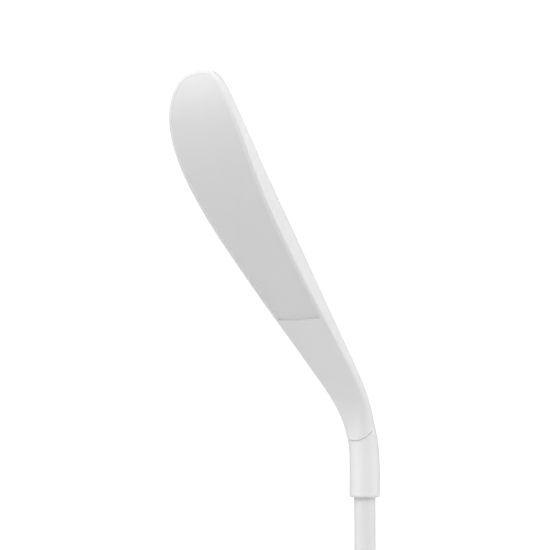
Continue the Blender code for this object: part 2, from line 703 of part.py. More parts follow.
def electronics():
    """Control board on its standoffs, with the charging socket and switch, and the battery."""
    board = box(-11 * MM, 11 * MM, 45 * MM, 66 * MM, BOARD_LOW, BOARD_TOP)
    for side in (-1, 1):
        place = (side * BOARD_SCREW_X, BOARD_SCREW_Y, 0)
        board = cut(board, rod(1.3 * MM, BOARD_LOW - MM, BOARD_TOP + MM, place, FINE_ROUND))
        head = BOARD_TOP + REST
        screw = [(0, 8 * MM), (0.8 * MM, 8.5 * MM), (0.8 * MM, head), (1.8 * MM, head),
                 (1.8 * MM, head + 1.1 * MM), (0, head + 1.1 * MM)]
        name = "board_screw_left" if side < 0 else "board_screw_right"
        finish(name, turned(screw, place, FINE_ROUND, False), steel())
    finish("control_board", board, circuit_board())

    body = prism(rounded_outline(SOCKET_HALF_WIDTH, 0, SOCKET_HEIGHT, 1.3 * MM, 4), -3.8 * MM, 3.8 * MM)
    inside = rounded_outline(SOCKET_HALF_WIDTH - 0.3 * MM, 0.3 * MM, SOCKET_HEIGHT - 0.3 * MM, 1.0 * MM, 4)
    mouth = prism(inside, -5 * MM, 2.4 * MM)
    tongue = box(-3.2 * MM, 3.2 * MM, 1.25 * MM, 1.95 * MM, -3.2 * MM, 3 * MM)
    socket = add(cut(body, mouth), tongue)
    tipped(socket, 90, (0, REAR - 4 * MM, SOCKET_LOW))
    finish("usb_socket", socket, steel())

    side = 3.1 * MM
    place = (0, BUTTON_Y, 0)
    switch = cut(box(-side, side, BUTTON_Y - side, BUTTON_Y + side, SOCKET_LOW, 18.2 * MM),
                 rod(1.9 * MM, 15.8 * MM, 19 * MM, place, FINE_ROUND))
    finish("tactile_switch", switch, material("black_plastic", (0.03, 0.03, 0.03), 0.5))

    pouch = prism(rounded_outline(17 * MM, -13 * MM, 24 * MM, 2 * MM, 3), 4.8 * MM, 12.6 * MM)
    bevel_level(pouch, 12.6 * MM, MM, 2)
    finish("battery", pouch, material("battery_wrap", (0.16, 0.2, 0.32), 0.35))
    lead = [(-12 * MM, 24.8 * MM, 9 * MM), (-12 * MM, 31 * MM, 9 * MM), (-12 * MM, 37 * MM, 9.5 * MM),
            (-11 * MM, 42 * MM, 12.5 * MM), (-8 * MM, 43.2 * MM, 15.4 * MM), (-5 * MM, 46 * MM, 16.2 * MM)]
    red = material("lead_red", (0.5, 0.03, 0.03), 0.5)
    tube_along("battery_lead", smooth_route(lead, 2.5 * MM), 0.9 * MM, red)


def button_and_lens():
    """Button with a retaining flange and a stem, the switch's plunger under it, and the light pipe."""
    place = (0, BUTTON_Y, 0)
    button = [(0, 19.6), (2.0, 19.6), (2.0, 21.0), (7.3, 21.0), (7.3, 22.3), (6.0, 22.3), (6.0, 25.4),
              (5.4, 26.0), (0, 26.0)]
    cap = turned([(radius * MM, height * MM) for radius, height in button], place, ROUND, False)
    finish("power_button", cap, white_plastic(), place)
    plunger = rod(1.6 * MM, 16.9 * MM, 19.3 * MM, place, FINE_ROUND)
    finish("switch_plunger", plunger, material("black_plastic", (0.03, 0.03, 0.03), 0.5), place)
    lens = [(0, 20.8), (1.7, 20.8), (1.7, 22.2), (1.2, 22.2), (1.2, 25.1), (0, 25.1)]
    pipe = turned([(radius * MM, height * MM) for radius, height in lens], (0, LENS_Y, 0), FINE_ROUND, False)
    finish("indicator_lens", pipe, material("indicator_lens", (0.8, 0.85, 0.85), 0.15))


def jaw_outline():
    """Side view of the moving jaw: level under the pad, humped under the hinge, then the handle."""
    top = [(FRONT, JAW_TOP), (14 * MM, JAW_TOP), (22 * MM, JAW_TOP + 1.4 * MM), (29 * MM, JAW_TOP + 3.2 * MM),
           (36 * MM, JAW_TOP + 3.9 * MM), (43 * MM, JAW_TOP + 3.4 * MM), (52 * MM, JAW_TOP + 1.4 * MM),
           (62 * MM, JAW_TOP - 1.6 * MM), (JAW_REAR, JAW_TOP - 5.4 * MM)]
    return top + [(y, z - JAW_PLATE) for y, z in reversed(top)]


def jaw_lower(origin):
    """Moving jaw: a plate with the handle, and two lugs that turn on the pin inside the ears."""
    plate = prism(jaw_outline(), -JAW_HALF_WIDTH, JAW_HALF_WIDTH, "X")
    corners = prism(rounded_outline(JAW_HALF_WIDTH, FRONT, JAW_REAR, 13 * MM), -60 * MM, 0)
    body = combine(plate, corners, "INTERSECT")
    foot = [(14 * MM, JAW_TOP - 1.2 * MM), (56 * MM, JAW_TOP - 1.6 * MM), (43 * MM, JAW_TOP + 1.9 * MM),
            (29 * MM, JAW_TOP + 1.6 * MM)]
    lug = eye_outline(5 * MM, foot, False)
    for side in (-1, 1):
        low, high = sorted((side * JAW_WALL_INNER, side * JAW_WALL_OUTER))
        body = add(body, prism(lug, low, high, "X"))
    return finish("jaw_lower", cut(body, hinge_tool()), white_plastic(), origin)


def pads(origin):
    """Rubber pads: the upper one on the tray, the lower one on the moving jaw."""
    outline = rounded_outline(15 * MM, -26 * MM, 10 * MM, 9 * MM, 5)
    finish("upper_jaw_pad", prism(outline, 0, PAD), pad_rubber())
    finish("lower_jaw_pad", prism(outline, -BOARD - PAD, -BOARD), pad_rubber(), origin)


def torsion_spring():
    """Wire spring round the pin: one leg under the tray, one on the handle, coiled between them."""
    wire = 0.7 * MM
    coil = 3.0 * MM
    half = 6.6 * MM
    turns = 5.5
    tray_end = (-half, 52 * MM, TRAY_LOW - REST - wire)
    handle_end = (half, 50 * MM, JAW_TOP + 1.9 * MM + REST + wire)
    points = [Vector(tray_end), Vector((-half, 42 * MM, -2.6 * MM))]
    count = int(turns * 12)
    for i in range(count + 1):
        angle = math.radians(90) + math.tau * turns * i / count
        x = -half + 2 * half * i / count
        points.append(Vector((x, HINGE_Y + coil * math.cos(angle), HINGE_Z + coil * math.sin(angle))))
    points += [Vector((half, 42 * MM, -16 * MM)), Vector(handle_end)]
    return tube_along("torsion_spring", points, wire, steel(), (0, HINGE_Y, HINGE_Z))


def hinge_parts():
    place = (0, HINGE_Y, HINGE_Z)
    finish("hinge_pin", rod(PIN_RADIUS, -20.4 * MM, 20.4 * MM, place, FINE_ROUND, "X"), steel())
    for name, side in (("retaining_ring_left", -1), ("retaining_ring_right", 1)):
        low, high = sorted((side * (EAR_OUTER + REST), side * (EAR_OUTER + REST + 0.8 * MM)))
        finish(name, ring(PIN_BORE, 3.4 * MM, low, high, place, FINE_ROUND, "X"), steel())


def main():
    clear_scene()
    base_tray()
    base_cover()
    base_screws()
    arm_foot()
    electronics()
    button_and_lens()
    hinge = (0, HINGE_Y, HINGE_Z)
    jaw_lower(hinge)
    pads(hinge)
    hinge_parts()
    torsion_spring()
    make_arm()
    arm_cable()
    make_head((0, ARM_Y, PIVOTS[-1]))


main()
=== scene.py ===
# %% [markdown]
# # A clip-on reading lamp in Blender
#
# The lamp is a spring clip with a small housing, a flexible arm in a soft sleeve, and a long
# paddle-shaped light head. The frame below holds its engineering solids, which fix every size and
# joint. This lesson gives each visible piece its real surface: smooth curves, rounded edges, fine
# gaps between mouldings and a finish made from nodes. The new pieces ride on the same bodies.

# %% Load the frame
import json
import math

import bmesh
import bpy
import numpy as np
from mathutils import Matrix, Vector


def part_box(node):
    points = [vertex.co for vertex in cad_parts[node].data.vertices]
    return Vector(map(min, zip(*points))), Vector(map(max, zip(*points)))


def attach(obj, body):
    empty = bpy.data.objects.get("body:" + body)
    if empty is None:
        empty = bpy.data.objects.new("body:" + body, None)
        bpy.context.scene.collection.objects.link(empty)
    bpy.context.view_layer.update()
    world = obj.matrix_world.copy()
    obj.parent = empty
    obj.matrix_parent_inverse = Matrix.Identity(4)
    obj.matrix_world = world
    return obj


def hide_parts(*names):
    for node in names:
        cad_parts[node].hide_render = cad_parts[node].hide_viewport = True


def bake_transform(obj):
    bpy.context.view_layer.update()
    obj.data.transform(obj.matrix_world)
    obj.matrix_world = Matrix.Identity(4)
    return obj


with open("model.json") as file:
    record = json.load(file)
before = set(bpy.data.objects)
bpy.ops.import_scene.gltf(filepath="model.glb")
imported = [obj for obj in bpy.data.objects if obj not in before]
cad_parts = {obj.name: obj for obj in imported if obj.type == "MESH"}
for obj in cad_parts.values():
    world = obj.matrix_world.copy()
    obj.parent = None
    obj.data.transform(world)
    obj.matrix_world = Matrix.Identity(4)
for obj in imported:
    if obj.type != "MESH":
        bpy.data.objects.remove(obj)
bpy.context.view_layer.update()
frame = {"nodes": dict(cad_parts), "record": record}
MM = 0.001

# %% [markdown]
# ## Reading places from the frame
#
# Most sizes can be measured on the solids. The script keeps only the few that a box can't tell,
# such as the section sizes of the light head.

# %% Measure the frame
low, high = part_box("arm_collar")
ARM_Y = (low.y + high.y) / 2
COLLAR_TOP = high.z
low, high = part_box("head_shell")
CUFF_LOW = low.z
low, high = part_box("hinge_pin")
HINGE_Y = (low.y + high.y) / 2
HINGE_Z = (low.z + high.z) / 2
low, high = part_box("base_cover")
HALF_WIDTH, HOUSING_FRONT, HOUSING_REAR = high.x, low.y, high.y
COVER_LOW_Z, COVER_TOP_Z = low.z, high.z
TRAY_LOW_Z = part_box("upper_jaw_pad")[1].z + 0.3 * MM
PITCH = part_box("arm_sleeve_3")[0].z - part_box("arm_sleeve_2")[0].z
PIVOTS = [COLLAR_TOP + PITCH * (i + 0.5) for i in range(8)]
print(f"arm at y = {ARM_Y / MM:.1f} mm, cuff at z = {CUFF_LOW / MM:.1f} mm, pivots every {PITCH / MM:.1f} mm")

# %% [markdown]
# ## Finishes
#
# Every finish is a Principled shader with a little noise behind it, on Object coordinates in
# metres: a scale of 2500 means a grain of about 0.4 mm. Moulded white plastic has a spark-eroded
# texture, too fine to see as bumps from reading distance, which makes its highlight satin. Values
# that are the same everywhere sit on the shader itself.

# %% Finish helpers
def new_material(name, roughness, metallic=0.0, **sockets):
    """A Principled material with its uniform values set on the shader's own sockets."""
    made = bpy.data.materials.new(name)
    made.use_nodes = True
    shader = made.node_tree.nodes["Principled BSDF"]
    shader.inputs["Roughness"].default_value = roughness
    shader.inputs["Metallic"].default_value = metallic
    for label, value in sockets.items():
        shader.inputs[label.replace("_", " ")].default_value = value
    return made, made.node_tree, shader


def noise(tree, scale, detail=3.0, stretch=(1, 1, 1)):
    """Noise on Object coordinates; stretch squeezes it along an axis, for brushed or wound finishes."""
    place = tree.nodes.new("ShaderNodeTexCoord")
    mapping = tree.nodes.new("ShaderNodeMapping")
    mapping.inputs["Scale"].default_value = stretch
    pattern = tree.nodes.new("ShaderNodeTexNoise")
    pattern.inputs["Scale"].default_value = scale
    pattern.inputs["Detail"].default_value = detail
    tree.links.new(place.outputs["Object"], mapping.inputs["Vector"])
    tree.links.new(mapping.outputs["Vector"], pattern.inputs["Vector"])
    return pattern


def between(tree, pattern, low, high, target):
    """Send a pattern to a socket, spread between two numbers or two colours."""
    if isinstance(low, tuple):
        ramp = tree.nodes.new("ShaderNodeValToRGB")
        ramp.color_ramp.elements[0].position = 0.3
        ramp.color_ramp.elements[1].position = 0.7
        ramp.color_ramp.elements[0].color = (*low, 1.0)
        ramp.color_ramp.elements[1].color = (*high, 1.0)
        tree.links.new(pattern.outputs["Fac"], ramp.inputs["Fac"])
        tree.links.new(ramp.outputs["Color"], target)
    else:
        spread = tree.nodes.new("ShaderNodeMapRange")
        spread.inputs["To Min"].default_value = low
        spread.inputs["To Max"].default_value = high
        tree.links.new(pattern.outputs["Fac"], spread.inputs["Value"])
        tree.links.new(spread.outputs["Result"], target)


def bump(tree, shader, pattern, strength, depth):
    """Grain in the surface: strength is how much of it shows and depth is its height in metres."""
    made = tree.nodes.new("ShaderNodeBump")
    made.inputs["Strength"].default_value = strength
    made.inputs["Distance"].default_value = depth
    tree.links.new(pattern.outputs["Fac"], made.inputs["Height"])
    tree.links.new(made.outputs["Normal"], shader.inputs["Normal"])


def grained(name, dark, light, rough, grain, strength, depth, metallic=0.0, stretch=(1, 1, 1), **sockets):
    """The usual finish: colour drifts slowly, roughness and bump follow a fine grain."""
    made, tree, shader = new_material(name, sum(rough) / 2, metallic, **sockets)
    between(tree, noise(tree, 40.0, 2.0), dark, light, shader.inputs["Base Color"])
    fine = noise(tree, grain, 4.0, stretch)
    between(tree, fine, rough[0], rough[1], shader.inputs["Roughness"])
    bump(tree, shader, fine, strength, depth)
    return made


# %% Mix the finishes
def grey(value):
    return (value, value, value)


FINISHES = {name: grained(name, *values, **sockets) for name, values, sockets in (
    # name; dark and light colour, roughness, grain, bump strength and depth; the shader's own values
    ("white_plastic", (grey(0.83), grey(0.845), (0.4, 0.5), 2500.0, 0.25, 0.00002),
     {"Specular_IOR_Level": 0.4}),
    ("diffuser", (grey(0.78), grey(0.79), (0.5, 0.6), 1800.0, 0.15, 0.00002), {"Specular_IOR_Level": 0.3}),
    ("silicone", ((0.785, 0.785, 0.78), grey(0.805), (0.55, 0.68), 1500.0, 0.2, 0.00002),
     {"Sheen_Weight": 0.06, "Specular_IOR_Level": 0.35}),
    ("pad_rubber", (grey(0.6), grey(0.66), (0.7, 0.85), 900.0, 0.4, 0.00004), {}),
    ("steel", ((0.56, 0.56, 0.57), (0.66, 0.66, 0.67), (0.22, 0.38), 700.0, 0.3, 0.00002),
     {"metallic": 1.0, "stretch": (0.15, 1, 1)}),
    ("circuit_board", ((0.02, 0.16, 0.07), (0.035, 0.2, 0.1), (0.3, 0.45), 600.0, 0.3, 0.00003),
     {"Coat_Weight": 0.4}),
    ("led_board", ((0.78, 0.78, 0.75), (0.84, 0.84, 0.82), (0.35, 0.45), 700.0, 0.2, 0.00002), {}),
    ("thermal_tape", ((0.68, 0.67, 0.62), (0.76, 0.75, 0.7), (0.7, 0.85), 500.0, 0.5, 0.00005), {}),
    ("battery_wrap", ((0.1, 0.13, 0.22), (0.16, 0.2, 0.32), (0.25, 0.4), 250.0, 0.4, 0.0001),
     {"Coat_Weight": 0.5}),
    ("black_plastic", (grey(0.012), grey(0.03), (0.4, 0.55), 1500.0, 0.3, 0.00003), {}),
    ("indicator_lens", ((0.78, 0.83, 0.84), (0.85, 0.9, 0.9), (0.1, 0.2), 900.0, 0.1, 0.00002),
     {"Transmission_Weight": 0.6}),
    ("cable_jacket", (grey(0.74), grey(0.8), (0.5, 0.6), 800.0, 0.3, 0.00003), {}),
    ("battery_lead", ((0.4, 0.02, 0.02), (0.5, 0.04, 0.03), (0.4, 0.55), 800.0, 0.3, 0.00003), {}),
)}
print("finishes:", ", ".join(FINISHES))

# %% Give every engineering solid its finish
for part in frame["record"]["subparts"]:
    solid = frame["nodes"][part["node"]]
    solid.data.materials.clear()
    solid.data.materials.append(FINISHES[part["material_slot"]])

# %% [markdown]
# ## Tools for making pieces
#
# A piece starts as a bmesh. These helpers turn it into an object, smooth its faces but keep its
# real edges sharp, give it its finish, and fasten it to its body. Cutting one closed shape with
# another is left to the exact Boolean.

# %% Piece helpers
def linked(name, data):
    """A new object in the scene with this mesh, light or camera."""
    made = bpy.data.objects.new(name, data)
    bpy.context.scene.collection.objects.link(made)
    return made


def mesh_from(name, bm):
    """A new mesh with all that a bmesh holds; the bmesh is used up."""
    mesh = bpy.data.meshes.new(name)
    bm.to_mesh(mesh)
    bm.free()
    return mesh


def object_from(name, bm, angle=30):
    bmesh.ops.remove_doubles(bm, verts=bm.verts, dist=0.0002 * MM)
    mesh = mesh_from(name, bm)
    mesh.shade_smooth()
    mesh.set_sharp_from_angle(angle=math.radians(angle))
    return linked(name, mesh)


def dress(obj, finish, nodes=()):
    """Give the piece its finish and hide the engineering solids that it stands for."""
    obj.data.materials.append(FINISHES[finish])
    if nodes:
        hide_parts(*nodes)
    print(f"{obj.name}: {len(obj.data.polygons)} faces")
    return obj


def piece(name, bm, finish, body, nodes=(), angle=30):
    obj = dress(object_from(name, bm, angle), finish, nodes)
    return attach(obj, body)


def bend_piece(name, bm, finish, nodes=()):
    """A piece that crosses a joint, left in place and fastened to no body."""
    obj = dress(object_from(name, bm), finish, nodes)
    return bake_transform(obj)


def combine(bm, tool, operation):
    """Boolean one closed bmesh with another and return the result; both are used up."""
    pair = [linked("work", mesh_from("work", part)) for part in (bm, tool)]
    modifier = pair[0].modifiers.new("combine", "BOOLEAN")
    modifier.operation = operation
    modifier.object = pair[1]
    modifier.solver = "EXACT"
    result = bmesh.new()
    result.from_object(pair[0], bpy.context.evaluated_depsgraph_get())
    slits = [edge for edge in result.edges if edge.is_boundary]     # rare, along very thin faces
    bmesh.ops.holes_fill(result, edges=slits, sides=0)
    for obj in pair:
        mesh = obj.data
        bpy.data.objects.remove(obj)
        bpy.data.meshes.remove(mesh)
    return result


def cut(bm, *tools):
    for tool in tools:
        bm = combine(bm, tool, "DIFFERENCE")
    return bm


def add(bm, *tools):
    for tool in tools:
        bm = combine(bm, tool, "UNION")
    return bm


# %% Shape helpers
def tipped(bm, degrees, place, axis="X"):
    """Turn a shape about an axis through the origin, then put it in its place."""
    turn = Matrix.Rotation(math.radians(degrees), 3, axis)
    bmesh.ops.rotate(bm, cent=(0, 0, 0), matrix=turn, verts=bm.verts)
    bmesh.ops.translate(bm, verts=bm.verts, vec=place)
    return bm


def prism(outline, low, high, along="Z"):
    """Push a flat outline from low to high. Along Z the outline is (x, y), along X it is (y, z)."""
    bm = bmesh.new()
    if along == "Z":
        verts = [bm.verts.new((x, y, low)) for x, y in outline]
        step = Vector((0, 0, high - low))
    else:
        verts = [bm.verts.new((low, y, z)) for y, z in outline]
        step = Vector((high - low, 0, 0))
    face = bm.faces.new(verts)
    pushed = bmesh.ops.extrude_face_region(bm, geom=[face])
    moved = [item for item in pushed["geom"] if isinstance(item, bmesh.types.BMVert)]
    bmesh.ops.translate(bm, verts=moved, vec=step)
    bmesh.ops.recalc_face_normals(bm, faces=bm.faces)
    return bm


def turned(profile, centre=(0, 0, 0), steps=64, tube=True, along="Z"):
    """Turn a profile of (radius, height) points in mm. A tube's profile closes on itself."""
    bm = bmesh.new()
    verts = [bm.verts.new((radius * MM, 0, height * MM)) for radius, height in profile]
    edges = [bm.edges.new(pair) for pair in zip(verts, verts[1:])]
    if tube:
        edges.append(bm.edges.new((verts[-1], verts[0])))
    bmesh.ops.spin(bm, geom=verts + edges, cent=(0, 0, 0), axis=(0, 0, 1),
                   angle=math.tau, steps=steps, use_merge=True)
    bmesh.ops.remove_doubles(bm, verts=bm.verts, dist=0.001 * MM)
    bmesh.ops.recalc_face_normals(bm, faces=bm.faces)
    return tipped(bm, 90 if along == "X" else 0, centre, "Y")


def rod(radius, low, high, centre=(0, 0, 0), steps=64, along="Z"):
    """A plain round bar, in mm."""
    return turned([(0, low), (radius, low), (radius, high), (0, high)], centre, steps, False, along)


def rounded_outline(half_x, y_low, y_high, radius, steps=12):
    """Corner points of a rounded rectangle, anticlockwise."""
    corners = [(half_x - radius, y_low + radius, -90), (half_x - radius, y_high - radius, 0),
               (-half_x + radius, y_high - radius, 90), (-half_x + radius, y_low + radius, 180)]
    points = []
    for x, y, start in corners:
        for i in range(steps + 1):
            angle = math.radians(start + 90 * i / steps)
            points.append((x + radius * math.cos(angle), y + radius * math.sin(angle)))
    return points


def bevel_edges(bm, edges, width, segments):
    bmesh.ops.bevel(bm, geom=edges, offset=width, offset_type="OFFSET", segments=segments, profile=0.5,
                    affect="EDGES", material=-1, clamp_overlap=True)
    return bm


def bevel_level(bm, height, width, segments):
    """Round off the edges that lie at one height."""
    edges = [edge for edge in bm.edges if all(abs(vert.co.z - height) < 0.01 * MM for vert in edge.verts)]
    return bevel_edges(bm, edges, width, segments)


# %% [markdown]
# ## The light head's curve
#
# The head is one long S: it leaves the cuff upright, swings forward to about 41 degrees, and
# straightens again at the tip. Such a form is drawn as a middle line with sections on it. Each row
# below is one section: how far along the line, how far it leans, its half width, half thickness and
# front and back edge radii. A smooth curve runs through the rows.

# %% Sections of the head
LEAN, WIDTH, THICKNESS, FRONT_EDGE, BACK_EDGE = range(1, 6)     # columns after the distance
SECTIONS = np.array([
    (0, 0, 7.0, 7.0, 7.0, 7.0),
    (12, 0, 7.0, 7.0, 7.0, 7.0),
    (24, 10, 7.0, 6.6, 6.6, 6.6),
    (36, 22, 7.9, 4.6, 4.3, 4.4),
    (48, 33, 10.0, 2.9, 2.2, 2.7),
    (62, 40, 11.8, 2.7, 1.2, 2.3),
    (80, 41, 13.6, 2.9, 0.8, 2.2),
    (120, 40.5, 17.3, 4.0, 0.75, 2.4),
    (160, 38, 20.8, 4.3, 0.75, 2.4),
    (180, 33, 22.3, 3.5, 0.75, 2.2),
    (200, 22, 23.0, 2.5, 0.75, 1.8),
    (222, -7, 21.5, 2.1, 0.7, 1.6),
])
HEAD_LENGTH = 223 * MM      # along the middle line
SHOULDER = 165.5 * MM       # where the outline starts to round off to the tip
TIP_POWER = 3.0             # how square the rounded tip is
CUFF_RADIUS = 7 * MM
SHELL_WALL = 1.2 * MM
SEAM = 0.04 * MM            # gap between the two mouldings
RIM_WIDTH = 2.1 * MM
WINDOW_START = 98 * MM
WINDOW_BULGE = 1.25 * MM
COVER_THIN = 0.12 * MM
COVER_THICK = 1.25 * MM
COVER_SLOPE = 45            # lean of the plane that ends the cover at the neck, in degrees
COVER_END = 26 * MM         # height of the cover's lowest point over the foot of the cuff
NECK_SEAM = 0.5 * MM        # how far in front of the middle line the cover's seam runs at the neck


def smooth_value(stops, values, place):
    """A value on a smooth curve through a few stops."""
    slopes = np.gradient(values, stops)
    place = min(max(place, stops[0]), stops[-1])
    i = min(int(np.searchsorted(stops, place, side="right")) - 1, len(stops) - 2)
    span = stops[i + 1] - stops[i]
    t = (place - stops[i]) / span
    return float(values[i] * (1 + 2 * t) * (1 - t) ** 2 + slopes[i] * span * t * (1 - t) ** 2
                 + values[i + 1] * t * t * (3 - 2 * t) + slopes[i + 1] * span * t * t * (t - 1))


def section_value(column, distance):
    """One of the section sizes at a distance along the head."""
    return smooth_value(SECTIONS[:, 0], SECTIONS[:, column], distance / MM)


def lean_at(distance):
    return math.radians(section_value(LEAN, distance))


def middle_line():
    """The head's middle line in the plane x = 0: distances, y and z."""
    distances = np.arange(0, HEAD_LENGTH / MM + 2, 0.5) * MM
    lean = np.radians([section_value(LEAN, place) for place in distances])
    step = np.diff(distances)
    y = ARM_Y - np.concatenate([[0], np.cumsum(step * (np.sin(lean[1:]) + np.sin(lean[:-1])) / 2)])
    z = CUFF_LOW + np.concatenate([[0], np.cumsum(step * (np.cos(lean[1:]) + np.cos(lean[:-1])) / 2)])
    return distances, y, z


LINE = middle_line()


def on_head(distance, x, rise):
    """A place in space from a distance along the head, a place across it and a height to its front."""
    y = float(np.interp(distance, LINE[0], LINE[1]))
    z = float(np.interp(distance, LINE[0], LINE[2]))
    lean = lean_at(distance)
    return Vector((x, y - rise * math.cos(lean), z - rise * math.sin(lean)))


def size_along(column):
    """One column of sizes as a function that gives metres for a distance in metres."""
    return lambda distance: section_value(column, distance) * MM


half_width, half_thickness, front_radius, back_radius = map(
    size_along, (WIDTH, THICKNESS, FRONT_EDGE, BACK_EDGE))
print(f"tip of the head at z = {on_head(HEAD_LENGTH, 0, 0).z / MM:.1f} mm")

# %% [markdown]
# ## One tool for every plate
#
# The head's mouldings, the diffuser, the housing, the jaw and the pads are all plates with a
# rounded outline and rounded edges, so one function makes them. It takes half an outline, lays a
# row of edges round it for each step of a rounded edge, bridges each row to the next, and closes
# front and back with ladders. What the outline's two numbers mean is left to a place function.

# %% The plate tool
FLAT_START = 0.12 * MM      # a last row this far inside a rounded edge keeps the flat's shading flat
NO_AREA = 0.0001 * MM ** 2


def level(value):
    """A size that is the same everywhere."""
    return lambda at: value


def edge_rows(at, face, edge, towards_back, bends, room):
    """Steps of one rounded edge at a place: how far in and at what rise each row lies."""
    if edge is None:
        return [(0.0, face(at))]
    radius = min(edge(at), room)
    rows = []
    for i in range(bends + 1):
        turn = math.radians(90) * i / bends
        rows.append((radius * (1 - math.cos(turn)), face(at) + towards_back * radius * (1 - math.sin(turn))))
    return rows + [(radius + FLAT_START, face(at))]


def bridge(bm, first, second, closed=False):
    """Bridge two rows of vertices."""
    edges = []
    for row in (first, second):
        for pair in zip(row, row[1:] + row[:1] if closed else row[1:]):
            edges.append(bm.edges.get(pair) or bm.edges.new(pair))
    bmesh.ops.bridge_loops(bm, edges=edges)


def ladder(bm, right, left):
    """Fill between two mirrored rows; a step with its corners all in one line is joined to the next."""
    in_line = [(b.co - d.co).cross(c.co - a.co).length < NO_AREA
               for a, b, c, d in zip(right, right[1:], left[1:], left)]
    stops = [i for i in range(1, len(right) - 1) if not (in_line[i - 1] or in_line[i])]
    for low, high in zip([0] + stops, stops + [len(right) - 1]):
        bm.faces.new(dict.fromkeys(right[low:high + 1] + left[low:high + 1][::-1]))


def plate(outline, place, back, front, back_edge=None, front_edge=None, bends=6):
    """Closed plate over a half outline, mirrored in x = 0; back, front and edges go by distance."""
    columns = []
    for at, x, towards_at, towards_x in outline:
        room = 0.97 * min((front(at) - back(at)) / (2 if back_edge and front_edge else 1),
                          max(x, 2 * MM) / max(-towards_x, 0.01))
        rows = edge_rows(at, front, front_edge, -1, bends, room)[::-1]
        rows += edge_rows(at, back, back_edge, 1, bends, room)
        columns.append([(at + towards_at * go, max(x + towards_x * go, 0.0), rise) for go, rise in rows])
    closed = outline[0][1] == 0
    bm = bmesh.new()
    loops = []
    for row in zip(*columns):
        right = [bm.verts.new(place(*point)) for point in row]
        mirrored = row[1:-1] if closed else row[:-1]
        left = [bm.verts.new(place(at, -x, rise)) for at, x, rise in mirrored]
        loops.append((right, left))
    for (right, left), (next_right, next_left) in zip(loops, loops[1:]):
        if closed:      # half by half, so that no vertex is paired with its neighbour's partner
            bridge(bm, right, next_right)
            bridge(bm, right[:1] + left + right[-1:], next_right[:1] + next_left + next_right[-1:])
        else:
            bridge(bm, right + left[::-1], next_right + next_left[::-1])
    for right, left in (loops[0], loops[-1]):
        ladder(bm, right, (right[:1] if closed else []) + left + right[-1:])
    if not closed:
        bm.faces.new([right[0] for right, left in loops] + [left[0] for right, left in reversed(loops)])
    bmesh.ops.remove_doubles(bm, verts=bm.verts, dist=0.001 * MM)
    bmesh.ops.recalc_face_normals(bm, faces=bm.faces)
    return bm


# %% The head's outline
def head_outline(first, inset=0.0, steps=90, tip_steps=60):
    """Right half of the head's outline, moved inwards, with the inward direction at each point."""
    points = [(at, half_width(at)) for at in np.linspace(first, SHOULDER, steps, endpoint=False)]
    for i in range(tip_steps + 1):
        turn = math.radians(90) * i / tip_steps
        at = SHOULDER + (HEAD_LENGTH - SHOULDER) * math.sin(turn) ** (2 / TIP_POWER)
        points.append((at, half_width(at) * max(math.cos(turn), 0.0) ** (2 / TIP_POWER)))
    points = np.array(points)
    along = np.gradient(points, axis=0)
    inward = np.stack([along[:, 1], -along[:, 0]], axis=1)
    inward /= np.linalg.norm(inward, axis=1)[:, None]
    inward[0] = (0, -1)
    inward[-1] = (-1, 0)
    return np.hstack([points + inward * inset, inward]).tolist()


# %% Where cover and shell meet
def cover_thickness(distance):
    """Front cover: thick at the lower end of the diffuser, thin at the tip."""
    t = min(max((distance - WINDOW_START) / (HEAD_LENGTH - WINDOW_START), 0.0), 1.0)
    return COVER_THIN + (COVER_THICK - COVER_THIN) * (1 - t) ** 2


def rim_underside(distance):
    return half_thickness(distance) - cover_thickness(distance)


def eased(distance, start, end):
    """0 up to the start, 1 from the end, and a smooth rise between them."""
    t = min(max((distance - start) / (end - start), 0.0), 1.0)
    return t * t * (3 - 2 * t)


def parting(distance):
    """Height of the seam on the side: under the rim on the head, half way round at the neck."""
    rim = rim_underside(distance) - SEAM
    return NECK_SEAM + (rim - NECK_SEAM) * eased(distance, 30 * MM, 62 * MM)


def inner_back(distance):
    return -half_thickness(distance) + SHELL_WALL


def cuff_front(distance, radius):
    """Front of the cuff, which stays upright in line with the arm while the head leans away from it."""
    lean = lean_at(distance)
    drift = float(np.interp(distance, LINE[0], LINE[1])) - ARM_Y
    return min(half_thickness(distance) - CUFF_RADIUS + radius, (radius + drift) / math.cos(lean))


def shell_front(distance):
    """Front of the shell before the cover's room is cut: the upright cuff, then the whole head."""
    cuff = cuff_front(distance, CUFF_RADIUS)
    return cuff + (half_thickness(distance) - cuff) * eased(distance, 26 * MM, 33 * MM)


def keep_above(bm, gap):
    """Keep what lies above the plane that ends the cover, and close the cut."""
    lean = math.radians(COVER_SLOPE)
    direction = Vector((0, -math.sin(lean), math.cos(lean)))
    lowest = Vector((0, ARM_Y - 7.6 * MM, CUFF_LOW + COVER_END)) + direction * gap
    geometry = bm.verts[:] + bm.edges[:] + bm.faces[:]
    done = bmesh.ops.bisect_plane(bm, geom=geometry, plane_co=lowest, plane_no=direction,
                                  clear_inner=True, dist=0.0001 * MM)
    rim = [item for item in done["geom_cut"] if isinstance(item, bmesh.types.BMEdge)]
    bmesh.ops.contextual_create(bm, geom=rim)
    bmesh.ops.recalc_face_normals(bm, faces=bm.faces)
    return rim


# %% [markdown]
# ## Back shell with its cuff
#
# On the real lamp the back, side walls, neck and round cuff are one injection moulding, open at the
# front. It could be a thickened sheet, but the cuff's bore and the cover's seat need clean edges,
# so it is made as a toolmaker thinks: a solid form, less the hollow, the cover's room and the bore.

# %% Make the back shell
def head_form(front):
    """The whole head as one solid, with its rounded edges, up to a front that goes by distance."""
    return plate(head_outline(0.0, steps=110), on_head, lambda s: -half_thickness(s), front,
                 back_radius, front_radius)


